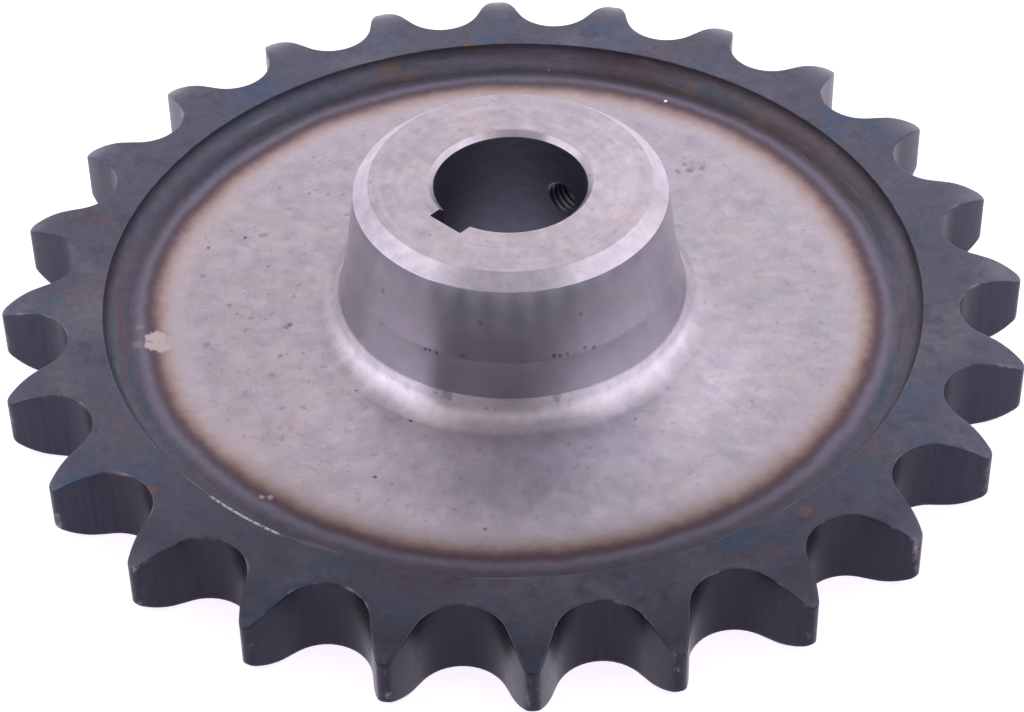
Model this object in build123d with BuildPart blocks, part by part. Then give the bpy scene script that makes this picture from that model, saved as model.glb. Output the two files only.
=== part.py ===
from build123d import *
import os
from math import radians, sin, sqrt, tan

# Chain sprocket for a single roller chain, with a hub on one side.
# Millimetres. The axis of rotation is Z, the plain back face lies at z = 0 and the hub points up +Z.
# The keyway points along -Y and the set screw hole along +Y. Both lie on a tooth's centre line.

# Chain and tooth form
chain_pitch = 25.4
tooth_count = 24
tooth_width = 16.2          # across the two side faces of the rim
seat_radius = 8.7           # the arc that a chain roller sits in
seat_half_angle = 64.0      # degrees that the arc runs either side of the gap's bottom
flank_straight = 2.5        # flat run between the seat and the tip curve
tip_curve_radius = 36.0     # convex curve of the upper flank
tooth_addendum = 4.8        # from the pitch circle out to the tip
tip_corner_radius = 1.5     # rounded corners of the tip, seen along the axis
side_relief_radius = 16.0   # sides of the tooth curve in towards the tip
side_relief_depth = 3.3     # taken off each side at the tip

# Recess turned into the hub side of the disc
recess_radius = 81.5
recess_depth = 4.2
recess_lip = 0.2            # straight wall above the cove that rounds into the web

# Hub, from its root up to its end
hub_height = 42.5           # from the back face to the hub's end
hub_end_radius = 27.65      # flat end, inside the chamfer
hub_chamfer_width = 3.1
hub_chamfer_height = 2.5
hub_draft = 7.5             # degrees, upper wall
hub_flare = 12.7            # degrees, lower wall
hub_flare_height = 12.4     # from the web up to the line where the two tapers meet
hub_root_fillet = 5.5

# Bore, keyway and set screw
bore_radius = 15.0
bore_chamfer = 1.1
key_width = 8.0
key_depth = 3.3             # from the bore's wall to the keyway's floor, on its centre line
screw_hole_radius = 3.4     # tapping size for an M8 thread
screw_from_end = 13.4       # from the hub's end down to the screw's axis
screw_mouth_chamfer = 0.7

# Sizes that follow
tooth_angle = 360.0 / tooth_count
pitch_radius = chain_pitch / 2 / sin(radians(tooth_angle / 2))
tip_radius = pitch_radius + tooth_addendum
relief_run = sqrt(2 * side_relief_radius * side_relief_depth - side_relief_depth**2)
relief_start_radius = tip_radius - relief_run
web_thickness = tooth_width - recess_depth
cove_radius = recess_depth - recess_lip
hub_shoulder_radius = hub_end_radius + hub_chamfer_width
hub_shoulder_height = hub_height - hub_chamfer_height
hub_line_height = web_thickness + hub_flare_height
hub_line_radius = hub_shoulder_radius + (hub_shoulder_height - hub_line_height) * tan(radians(hub_draft))
hub_root_radius = hub_line_radius + hub_flare_height * tan(radians(hub_flare))
screw_height = hub_height - screw_from_end


# One tooth gap, about the centre of the roller that sits in it, with +X pointing away from the axis.
# Each tip curve runs on past the tips, until it points straight across the gap.
with BuildSketch() as gap:
    with BuildLine():
        seat = CenterArc((0, 0), seat_radius, 180 - seat_half_angle, seat_half_angle)
        flank = PolarLine(seat @ 0, flank_straight, direction=(seat % 0) * -1)
        tip_curve = JernArc(flank @ 1, flank % 1, tip_curve_radius, seat_half_angle)
        Line(tip_curve @ 1, ((tip_curve @ 1).X, 0))
        mirror(about=Plane.XZ)
    make_face()

# The toothed outline, seen along the axis: a disc with its gaps cut, then rounded at the tips
with BuildSketch() as outline:
    Circle(tip_radius)
    with PolarLocations(pitch_radius, tooth_count, start_angle=(tooth_angle - 180) / 2):
        add(gap.sketch, mode=Mode.SUBTRACT)
    offset(amount=-tip_corner_radius, kind=Kind.INTERSECTION, mode=Mode.REPLACE)
    offset(amount=tip_corner_radius, mode=Mode.REPLACE)


with BuildPart() as sprocket:
    # Half section of the turned blank: rim, recess, web and hub in one
    with BuildSketch(Plane.XZ) as section:
        with BuildLine():
            back_face = Line((bore_radius + bore_chamfer, 0), (relief_start_radius, 0))
            back_relief = RadiusArc(back_face @ 1, (tip_radius, side_relief_depth), -side_relief_radius)
            rim = Line(back_relief @ 1, (tip_radius, tooth_width - side_relief_depth))
            front_relief = RadiusArc(rim @ 1, (relief_start_radius, tooth_width), -side_relief_radius)
            front_face = Line(front_relief @ 1, (recess_radius, tooth_width))
            recess_wall = Line(front_face @ 1, (recess_radius, tooth_width - recess_lip))
            cove = RadiusArc(recess_wall @ 1, (recess_radius - cove_radius, web_thickness), cove_radius)
            web = Line(cove @ 1, (hub_root_radius, web_thickness))
            flare = Line(web @ 1, (hub_line_radius, hub_line_height))
            draft = Line(flare @ 1, (hub_shoulder_radius, hub_shoulder_height))
            shoulder = Line(draft @ 1, (hub_end_radius, hub_height))
            hub_end = Line(shoulder @ 1, (bore_radius + bore_chamfer, hub_height))
            upper_chamfer = Line(hub_end @ 1, (bore_radius, hub_height - bore_chamfer))
            bore = Line(upper_chamfer @ 1, (bore_radius, bore_chamfer))
            Line(bore @ 1, back_face @ 0)
        make_face()
        hub_root = section.vertices().sort_by_distance(Vector(hub_root_radius, 0, web_thickness))[0]
        fillet(hub_root, radius=hub_root_fillet)
    revolve(axis=Axis.Z)

    # The teeth, cut down the whole height of the rim
    extrude(outline.sketch, amount=hub_height, mode=Mode.INTERSECT)

    # Keyway along the whole bore, towards -Y
    with BuildSketch() as keyway:
        Rectangle(key_width, bore_radius + key_depth, align=(Align.CENTER, Align.MAX))
    extrude(amount=hub_height, mode=Mode.SUBTRACT)

    # Set screw hole from the bore out through the hub's wall, towards +Y
    with BuildSketch(Plane((0, 0, screw_height), x_dir=(1, 0, 0), z_dir=(0, 1, 0))) as screw_hole:
        Circle(screw_hole_radius)
    extrude(amount=hub_root_radius, mode=Mode.SUBTRACT)
    screw_mouth = sprocket.edges(Select.LAST).sort_by(Axis.Y)[-1]
    chamfer(screw_mouth, length=screw_mouth_chamfer)

sprocket.part.label = "sprocket"

os.makedirs("parts", exist_ok=True)
export_step(sprocket.part, "parts/sprocket.step")
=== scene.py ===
"""Looks of a single roller chain sprocket: a toothed disc with a shallow recess and a hub on one side.

The sprocket is one turned and hobbed piece of steel. It lies on its plain back face with the hub up, and
its axis is Z. Sizes are in millimetres, angles in degrees, and meshes are brought to metres at the end.
"""

import logging
from dataclasses import dataclass
from enum import Enum
from functools import cached_property
from math import acos, atan2, cos, degrees, hypot, pi, radians, sin, sqrt, tan

import bmesh
import bpy
from bmesh.types import BMEdge, BMesh, BMFace, BMVert
from mathutils import Matrix, Vector


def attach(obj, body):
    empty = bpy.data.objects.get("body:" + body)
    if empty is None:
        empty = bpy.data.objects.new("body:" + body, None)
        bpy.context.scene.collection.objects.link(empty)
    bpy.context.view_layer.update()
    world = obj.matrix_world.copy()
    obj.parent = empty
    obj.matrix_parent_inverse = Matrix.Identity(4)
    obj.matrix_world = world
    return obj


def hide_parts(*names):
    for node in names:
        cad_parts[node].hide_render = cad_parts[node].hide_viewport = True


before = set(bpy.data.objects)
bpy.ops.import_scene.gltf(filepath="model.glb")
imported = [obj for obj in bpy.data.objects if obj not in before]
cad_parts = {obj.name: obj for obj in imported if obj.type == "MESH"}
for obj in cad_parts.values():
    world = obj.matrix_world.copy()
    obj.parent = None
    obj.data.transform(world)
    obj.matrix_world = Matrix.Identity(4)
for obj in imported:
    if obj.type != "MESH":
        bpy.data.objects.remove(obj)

Pair = tuple[float, float]
Triple = tuple[float, float, float]
Colour = Triple
Stops = tuple[tuple[float, Colour], ...]
Socket = bpy.types.NodeSocket
Value = Socket | float | Triple  # what a node's input takes

LOG = logging.getLogger("sprocket")
EDGE_WEAR = "edge_wear"  # the attribute that holds how worn each point is
MM = 0.001
WELD = 0.01  # points nearer than this are one, in millimetres
TURNED = 0.02  # points nearer than this to a turned face lie on it
UPRIGHT = 0.5  # faces whose normals rise less than this are walls
FRONT = -46.0  # azimuths, counted from +X towards +Y
LEFT = -136.0
ORIGIN = Vector((0.0, 0.0, 0.0))
Y_AXIS = Vector((0.0, 1.0, 0.0))
Z_AXIS = Vector((0.0, 0.0, 1.0))
Z_TO_Y = Matrix.Rotation(radians(-90.0), 3, "X")


def radius_of(point: Vector) -> float:
    """Distance of a point from the axis."""
    return hypot(point.x, point.y)


def turn_by(angle: float) -> Matrix:
    """The turn about the axis by an angle."""
    return Matrix.Rotation(radians(angle), 3, "Z")


def everything(mesh: BMesh) -> list[BMVert | BMEdge | BMFace]:
    """All points, edges and faces of a mesh."""
    return mesh.verts[:] + mesh.edges[:] + mesh.faces[:]


def round_off(mesh: BMesh, geometry: list[BMVert | BMEdge], offset: float, steps: int, affect: str) -> None:
    """Rounds corners or edges.

    Args:
        mesh: The mesh that holds them.
        geometry: The corners or the edges.
        offset: How far from them the rounding begins.
        steps: Number of steps across the rounding.
        affect: VERTICES for corners of a line, and EDGES for edges between faces.
    """
    bmesh.ops.bevel(
        mesh,
        geom=geometry,
        offset=offset,
        offset_type="OFFSET",
        segments=steps,
        profile=0.5,
        affect=affect,
        material=-1,
    )


class Wire:
    """A line drawn in a mesh, point by point, for other operators to sweep or bridge."""

    def __init__(self, mesh: BMesh, start: Vector) -> None:
        """Starts the line.

        Args:
            mesh: The mesh to draw in.
            start: Where the line begins.
        """
        self.mesh = mesh
        self.verts = [mesh.verts.new(start)]

    @property
    def tip(self) -> BMVert:
        """The point drawn last."""
        return self.verts[-1]

    @property
    def edges(self) -> list[BMEdge]:
        """The line's edges, from its start to its tip."""
        return [self.mesh.edges.get(pair) for pair in zip(self.verts, self.verts[1:])]

    def line_to(self, point: Vector) -> None:
        """Draws a straight run from the tip.

        Args:
            point: Where the run ends.
        """
        new = bmesh.ops.extrude_vert_indiv(self.mesh, verts=[self.tip])["verts"]
        bmesh.ops.translate(self.mesh, verts=new, vec=point - self.tip.co)
        self.verts.extend(new)

    def arc(self, centre: Vector, angle: float, steps: int, axis: Vector = Z_AXIS) -> None:
        """Draws an arc from the tip.

        Args:
            centre: The arc's centre.
            angle: How far it turns about the axis, in degrees.
            steps: Number of edges in it.
            axis: The direction it turns about.
        """
        for _ in range(steps):
            swept = bmesh.ops.spin(
                self.mesh, geom=[self.tip], cent=centre, axis=axis, angle=radians(angle / steps), steps=1
            )
            self.verts.extend(swept["geom_last"])


@dataclass(frozen=True)
class Teeth:
    """The toothed band of the rim, from the outline of the teeth in to a plain circle."""

    chain_pitch: float = 25.4
    count: int = 24
    width: float = 16.2
    seat_radius: float = 8.7
    seat_half_angle: float = 64.0
    flank_straight: float = 2.5
    tip_curve_radius: float = 36.0
    addendum: float = 4.8
    corner_radius: float = 1.5
    relief_radius: float = 16.0
    relief_depth: float = 3.3
    band_radius: float = 86.4  # where the band ends, inside the bottoms of the gaps
    seat_steps: int = 8
    curve_steps: int = 5
    corner_steps: int = 3
    wall_drops: tuple[float, ...] = (2.4, 0.8, 0.0)  # rows on the walls, under the upper side
    side_insets: Pair = (0.55, 1.1)  # rows on the upper side, inside the outline
    core_rows: int = 7  # rows from there to the plain circle

    @property
    def pitch_angle(self) -> float:
        """Angle from one tooth to the next."""
        return 360.0 / self.count

    @property
    def pitch_radius(self) -> float:
        """Radius of the circle that the chain's rollers sit on."""
        return self.chain_pitch / 2 / sin(radians(self.pitch_angle / 2))

    @property
    def tip_radius(self) -> float:
        """Radius out to the tips of the teeth."""
        return self.pitch_radius + self.addendum

    @property
    def relief_start(self) -> float:
        """Radius where the sides of the teeth begin to curve in."""
        run = sqrt(2 * self.relief_radius * self.relief_depth - self.relief_depth**2)
        return self.tip_radius - run

    @property
    def sector_steps(self) -> int:
        """Edges in each row of the band, from the middle of one tooth to the next."""
        return 2 * (self.seat_steps + 1 + self.curve_steps + self.corner_steps + 1)

    def side_height(self, radius: float) -> float:
        """Height of the upper side of the teeth.

        Args:
            radius: Distance from the axis.

        Returns:
            Height above the back face.
        """
        beyond = max(0.0, radius - self.relief_start)
        return self.width - self.relief_radius + sqrt(self.relief_radius**2 - beyond**2)

    def half_outline(self, mesh: BMesh, inset: float) -> Wire:
        """Draws the outline from the bottom of a gap to the middle of a tooth, with the gap on +X.

        Args:
            mesh: The mesh to draw in.
            inset: How far inside the real outline it runs.

        Returns:
            The drawn line, at z = 0.
        """
        roller = Vector((self.pitch_radius, 0.0, 0.0))
        slope = radians(90.0 - self.seat_half_angle)
        along = Vector((cos(slope), sin(slope), 0.0))
        across = Vector((-sin(slope), cos(slope), 0.0))
        curve_centre = roller + along * self.flank_straight
        curve_centre += across * (self.seat_radius + self.tip_curve_radius)
        far = radius_of(curve_centre)
        corner_reach = self.tip_radius - self.corner_radius
        from_curve = self.tip_curve_radius - self.corner_radius
        opening = acos((far**2 + corner_reach**2 - from_curve**2) / (2 * far * corner_reach))
        corner_azimuth = atan2(curve_centre.y, curve_centre.x) - opening
        corner = Vector((cos(corner_azimuth), sin(corner_azimuth), 0.0)) * corner_reach
        curve_end = degrees(atan2(corner.y - curve_centre.y, corner.x - curve_centre.x))

        wire = Wire(mesh, roller - Vector((self.seat_radius + inset, 0.0, 0.0)))
        wire.arc(roller, -self.seat_half_angle, self.seat_steps)
        wire.line_to(wire.tip.co + along * self.flank_straight)
        wire.arc(curve_centre, curve_end + self.seat_half_angle, self.curve_steps)
        wire.arc(corner, degrees(corner_azimuth) - curve_end, self.corner_steps)
        wire.arc(ORIGIN, self.pitch_angle / 2 - degrees(corner_azimuth), 1)
        return wire

    def row(
        self,
        mesh: BMesh,
        inset: float = 0.0,
        share: float = 0.0,
        drop: float = 0.0,
        height: float | None = None,
    ) -> Wire:
        """Draws one row of the band across half a tooth and half a gap.

        Args:
            mesh: The mesh to draw in.
            inset: How far inside the outline the row starts from.
            share: How far it has moved towards the plain circle, from 0 to 1.
            drop: How far it lies under the side of the tooth.
            height: A height for the whole row, in place of following the side of the tooth.

        Returns:
            The drawn row.
        """
        wire = self.half_outline(mesh, inset)
        for vert in wire.verts:
            radius = radius_of(vert.co)
            moved = radius + (self.band_radius - radius) * share
            vert.co *= moved / radius
            vert.co.z = self.side_height(moved) - drop if height is None else height
        return wire

    def build_sector(self, mesh: BMesh) -> None:
        """Builds the band from the middle of one tooth to the next, with its gap on +X.

        Args:
            mesh: An empty mesh, which receives the sector.
        """
        middle = self.width / 2
        shares = [step / self.core_rows for step in range(1, self.core_rows + 1)]
        rows = [self.row(mesh, height=middle)]
        rows += [self.row(mesh, drop=drop) for drop in self.wall_drops]
        rows += [self.row(mesh, inset) for inset in self.side_insets]
        rows += [self.row(mesh, self.side_insets[-1], share) for share in shares]
        for lower, upper in zip(rows, rows[1:]):
            bmesh.ops.bridge_loops(mesh, edges=lower.edges + upper.edges)
        mid_plane = Matrix.Translation((0.0, 0.0, -middle))
        for matrix, axis in ((Matrix.Identity(4), "Y"), (mid_plane, "Z")):
            bmesh.ops.mirror(mesh, geom=everything(mesh), matrix=matrix, merge_dist=WELD, axis=axis)


@dataclass(frozen=True)
class Blank:
    """The turned body inside the toothed band: recess, web, hub, bore and back face."""

    outer_radius: float = 84.0
    rim_height: float = 16.2
    recess_radius: float = 81.5
    recess_depth: float = 4.2
    recess_lip: float = 0.2
    recess_edge_break: float = 0.12
    hub_height: float = 42.5
    hub_end_radius: float = 27.65
    hub_chamfer_width: float = 3.1
    hub_chamfer_height: float = 2.5
    hub_draft: float = 7.5
    hub_flare: float = 12.7
    hub_flare_height: float = 12.4
    hub_foot_height: float = 4.7
    hub_foot_slope: float = 64.0
    hub_foot_edge: float = 0.5
    hub_root_fillet: float = 5.4
    bore_radius: float = 15.0
    bore_chamfer: float = 1.1
    edge_break: float = 0.2
    hold: float = 0.3  # distance of the rings that keep each rounding tight
    ring_gap: float = 6.0  # widest plain ring
    sector_steps: int = 12  # edges round one sector
    cove_steps: int = 10
    small_rounding: float = 1.0  # the largest radius that is rounded in the fewer steps
    small_steps: int = 3
    step_angle: float = 5.0  # what one step of a larger rounding turns by

    @property
    def web_height(self) -> float:
        """Height of the recessed web."""
        return self.rim_height - self.recess_depth

    @property
    def shoulder(self) -> Vector:
        """Where the hub's wall meets its chamfer, as radius and height."""
        return Vector(
            (self.hub_end_radius + self.hub_chamfer_width, 0.0, self.hub_height - self.hub_chamfer_height)
        )

    @property
    def taper_line(self) -> Vector:
        """Where the two tapers of the hub's wall meet."""
        height = self.web_height + self.hub_flare_height
        radius = self.shoulder.x + (self.shoulder.z - height) * tan(radians(self.hub_draft))
        return Vector((radius, 0.0, height))

    @property
    def foot_top(self) -> Vector:
        """Where the lower taper meets the hub's foot."""
        height = self.web_height + self.hub_foot_height
        radius = self.taper_line.x + (self.taper_line.z - height) * tan(radians(self.hub_flare))
        return Vector((radius, 0.0, height))

    @property
    def root(self) -> Vector:
        """Where the first slope of the hub's foot would meet the web."""
        run = self.hub_foot_height / tan(radians(self.hub_foot_slope))
        return Vector((self.foot_top.x + run, 0.0, self.web_height))

    @property
    def foot_radius(self) -> float:
        """Radius where the hub's foot runs out into the web."""
        return self.root.x + self.hub_root_fillet * tan(radians(self.hub_foot_slope / 2))

    @property
    def corners(self) -> tuple[tuple[Vector, float], ...]:
        """The section's corners from the hub's root to the back face, each with its rounding's radius."""
        chamfered = self.bore_radius + self.bore_chamfer
        return (
            (self.root, self.hub_root_fillet),
            (self.foot_top, self.hub_foot_edge),
            (self.taper_line, 0.0),
            (self.shoulder, self.edge_break),
            (Vector((self.hub_end_radius, 0.0, self.hub_height)), self.edge_break),
            (Vector((chamfered, 0.0, self.hub_height)), self.edge_break),
            (Vector((self.bore_radius, 0.0, self.hub_height - self.bore_chamfer)), self.edge_break),
            (Vector((self.bore_radius, 0.0, self.bore_chamfer)), self.edge_break),
            (Vector((chamfered, 0.0, 0.0)), self.edge_break),
            (Vector((self.outer_radius, 0.0, 0.0)), 0.0),
        )

    def draw(self, mesh: BMesh) -> list[BMEdge]:
        """Draws the half section in the XZ plane, with its corners rounded.

        Args:
            mesh: The mesh to draw in.

        Returns:
            The section's edges.
        """
        old = set(mesh.edges)
        lip_foot = self.rim_height - self.recess_lip
        cove = self.recess_depth - self.recess_lip
        wire = Wire(mesh, Vector((self.outer_radius, 0.0, self.rim_height)))
        wire.line_to(Vector((self.recess_radius, 0.0, self.rim_height)))
        roundings = [(wire.tip, self.recess_edge_break)]
        wire.line_to(Vector((self.recess_radius, 0.0, lip_foot)))
        wire.arc(Vector((self.recess_radius - cove, 0.0, lip_foot)), 90.0, self.cove_steps, Y_AXIS)
        for point, rounding in self.corners:
            wire.line_to(point)
            if rounding:
                roundings.append((wire.tip, rounding))
        for corner, rounding in roundings:
            self.round_corner(mesh, corner, rounding)
        section = [edge for edge in mesh.edges if edge not in old]
        return self.add_rings(mesh, section)

    def round_corner(self, mesh: BMesh, corner: BMVert, radius: float) -> None:
        """Rounds one corner of the section.

        Args:
            mesh: The mesh that holds the section.
            corner: The corner's point.
            radius: The rounding's radius.
        """
        sides = [edge.other_vert(corner).co - corner.co for edge in corner.link_edges]
        turn = pi - sides[0].angle(sides[1])
        steps = self.small_steps
        if radius > self.small_rounding:
            steps = max(2, round(degrees(turn) / self.step_angle))
        round_off(mesh, [corner], radius * tan(turn / 2), steps, "VERTICES")

    def add_rings(self, mesh: BMesh, section: list[BMEdge]) -> list[BMEdge]:
        """Divides the section's longer runs, close to their ends and evenly between.

        A run that is too short to be divided in three by its two holding rings stays whole.

        Args:
            mesh: The mesh that holds the section.
            section: The section's edges.

        Returns:
            All edges of the section afterwards.
        """
        known = set(mesh.edges) - set(section)
        for edge in section:
            length = edge.calc_length()
            if length < 3 * self.hold:
                continue
            start, end = edge.verts
            _, first = bmesh.utils.edge_split(edge, start, self.hold / length)
            run = mesh.edges.get((first, end))
            _, last = bmesh.utils.edge_split(run, end, self.hold / run.calc_length())
            cuts = int(length / self.ring_gap)
            if cuts:
                bmesh.ops.subdivide_edges(mesh, edges=[mesh.edges.get((first, last))], cuts=cuts)
        return [edge for edge in mesh.edges if edge not in known]

    def build_sector(self, mesh: BMesh, angle: float, rim_steps: int) -> None:
        """Turns the section through one sector, centred on +X.

        Args:
            mesh: The mesh that receives the sector.
            angle: The sector's angle.
            rim_steps: Number of edges that its outer rings need.
        """
        section = self.draw(mesh)
        points = list(dict.fromkeys(vert for edge in section for vert in edge.verts))
        bmesh.ops.rotate(mesh, verts=points, cent=ORIGIN, matrix=turn_by(-angle / 2))
        old = set(mesh.edges) - set(section)
        bmesh.ops.spin(
            mesh,
            geom=points + section,
            cent=ORIGIN,
            axis=Z_AXIS,
            angle=radians(angle),
            steps=self.sector_steps,
        )
        outer = [
            edge
            for edge in mesh.edges
            if edge not in old and all(radius_of(vert.co) > self.outer_radius - WELD for vert in edge.verts)
        ]
        split = bmesh.ops.subdivide_edges(mesh, edges=outer, cuts=rim_steps // self.sector_steps - 1)
        for vert in split["geom_inner"]:
            if isinstance(vert, BMVert):
                vert.co.xy *= self.outer_radius / radius_of(vert.co)


@dataclass(frozen=True)
class Keyway:
    """The keyway, cut along the whole bore towards -Y."""

    width: float = 8.0
    depth: float = 3.3
    bore_radius: float = 15.0
    corner: float = 0.25
    corner_steps: int = 3
    overshoot: float = 1.0  # how far the cutter reaches past both ends of the hub

    def is_floor_edge(self, edge: BMEdge) -> bool:
        """Whether an edge of the cutter runs along the keyway's floor.

        Args:
            edge: The edge.

        Returns:
            True for an edge on the far side that isn't across it.
        """
        ends = [vert.co for vert in edge.verts]
        far_side = -(self.bore_radius + self.depth) / 2
        return all(end.y < far_side for end in ends) and abs(ends[0].x - ends[1].x) < WELD

    def cutter(self, height: float) -> BMesh:
        """Builds the solid that the keyway is cut with.

        Args:
            height: The hub's height.

        Returns:
            The cutter's mesh.
        """
        mesh = bmesh.new()
        reach = self.bore_radius + self.depth
        bmesh.ops.create_cube(mesh, size=1.0)
        size = Vector((self.width, reach, height + 2 * self.overshoot))
        bmesh.ops.scale(mesh, verts=mesh.verts[:], vec=size)
        bmesh.ops.translate(mesh, verts=mesh.verts[:], vec=(0.0, -reach / 2, height / 2))
        floor_edges = [edge for edge in mesh.edges if self.is_floor_edge(edge)]
        round_off(mesh, floor_edges, self.corner, self.corner_steps, "EDGES")
        return mesh


@dataclass(frozen=True)
class SetScrewHole:
    """The tapped set screw hole, from the bore out through the hub's wall towards +Y."""

    height: float = 29.1
    minor_radius: float = 3.35
    major_radius: float = 4.0
    pitch: float = 1.25
    flat_share: float = 0.125  # flat crests and roots, as a share of the pitch
    start: float = 8.0
    end: float = 37.0
    spare_turns: int = 2  # more than the hole is long, cut off at both ends
    steps_per_turn: int = 32
    mouth_chamfer: float = 0.7
    mouth_reach: float = 1.5  # how far the chamfering cone goes in and out from the wall
    mouth_steps: int = 48

    def mouth_cutter(self, wall_radius: float) -> BMesh:
        """Builds the cone that the hole's outer mouth is chamfered with.

        Args:
            wall_radius: Radius of the hub's wall at the hole.

        Returns:
            The cutter's mesh.
        """
        mesh = bmesh.new()
        mouth = self.minor_radius + self.mouth_chamfer
        bmesh.ops.create_cone(
            mesh,
            cap_ends=True,
            segments=self.mouth_steps,
            radius1=mouth - self.mouth_reach,
            radius2=mouth + self.mouth_reach,
            depth=2 * self.mouth_reach,
        )
        bmesh.ops.rotate(mesh, verts=mesh.verts[:], cent=ORIGIN, matrix=Z_TO_Y)
        bmesh.ops.translate(mesh, verts=mesh.verts[:], vec=(0.0, wall_radius, self.height))
        return mesh

    def cutter(self) -> BMesh:
        """Builds the threaded rod that the hole is cut with.

        Returns:
            The cutter's mesh, closed at both ends.
        """
        mesh = bmesh.new()
        flat = self.pitch * self.flat_share
        flank = (self.pitch - 2 * flat) / 2
        wire = Wire(mesh, Vector((self.minor_radius, 0.0, 0.0)))
        wire.line_to(Vector((self.minor_radius, 0.0, flat)))
        wire.line_to(Vector((self.major_radius, 0.0, flat + flank)))
        wire.line_to(Vector((self.major_radius, 0.0, 2 * flat + flank)))
        wire.line_to(Vector((self.minor_radius, 0.0, self.pitch)))
        length = self.end - self.start
        turns = int(length / self.pitch) + self.spare_turns
        bmesh.ops.spin(
            mesh,
            geom=wire.verts + wire.edges,
            cent=ORIGIN,
            axis=Z_AXIS,
            dvec=(0.0, 0.0, self.pitch / self.steps_per_turn),
            angle=2 * pi * turns,
            steps=turns * self.steps_per_turn,
        )
        bmesh.ops.remove_doubles(mesh, verts=mesh.verts[:], dist=WELD)
        self.cut_off(mesh, self.pitch, -1.0)
        self.cut_off(mesh, self.pitch + length, 1.0)
        bmesh.ops.recalc_face_normals(mesh, faces=mesh.faces[:])
        bmesh.ops.rotate(mesh, verts=mesh.verts[:], cent=ORIGIN, matrix=Z_TO_Y)
        bmesh.ops.translate(mesh, verts=mesh.verts[:], vec=(0.0, self.start - self.pitch, self.height))
        return mesh

    def cut_off(self, mesh: BMesh, height: float, side: float) -> None:
        """Cuts the threaded rod square and closes its end.

        Args:
            mesh: The rod, still upright.
            height: Where it is cut.
            side: 1 to take away what is above, and -1 what is below.
        """
        bmesh.ops.bisect_plane(
            mesh,
            geom=everything(mesh),
            plane_co=(0.0, 0.0, height),
            plane_no=(0.0, 0.0, side),
            clear_outer=True,
        )
        rim = [
            edge
            for edge in mesh.edges
            if edge.is_boundary and all(abs(vert.co.z - height) < WELD for vert in edge.verts)
        ]
        bmesh.ops.contextual_create(mesh, geom=rim)


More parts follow.
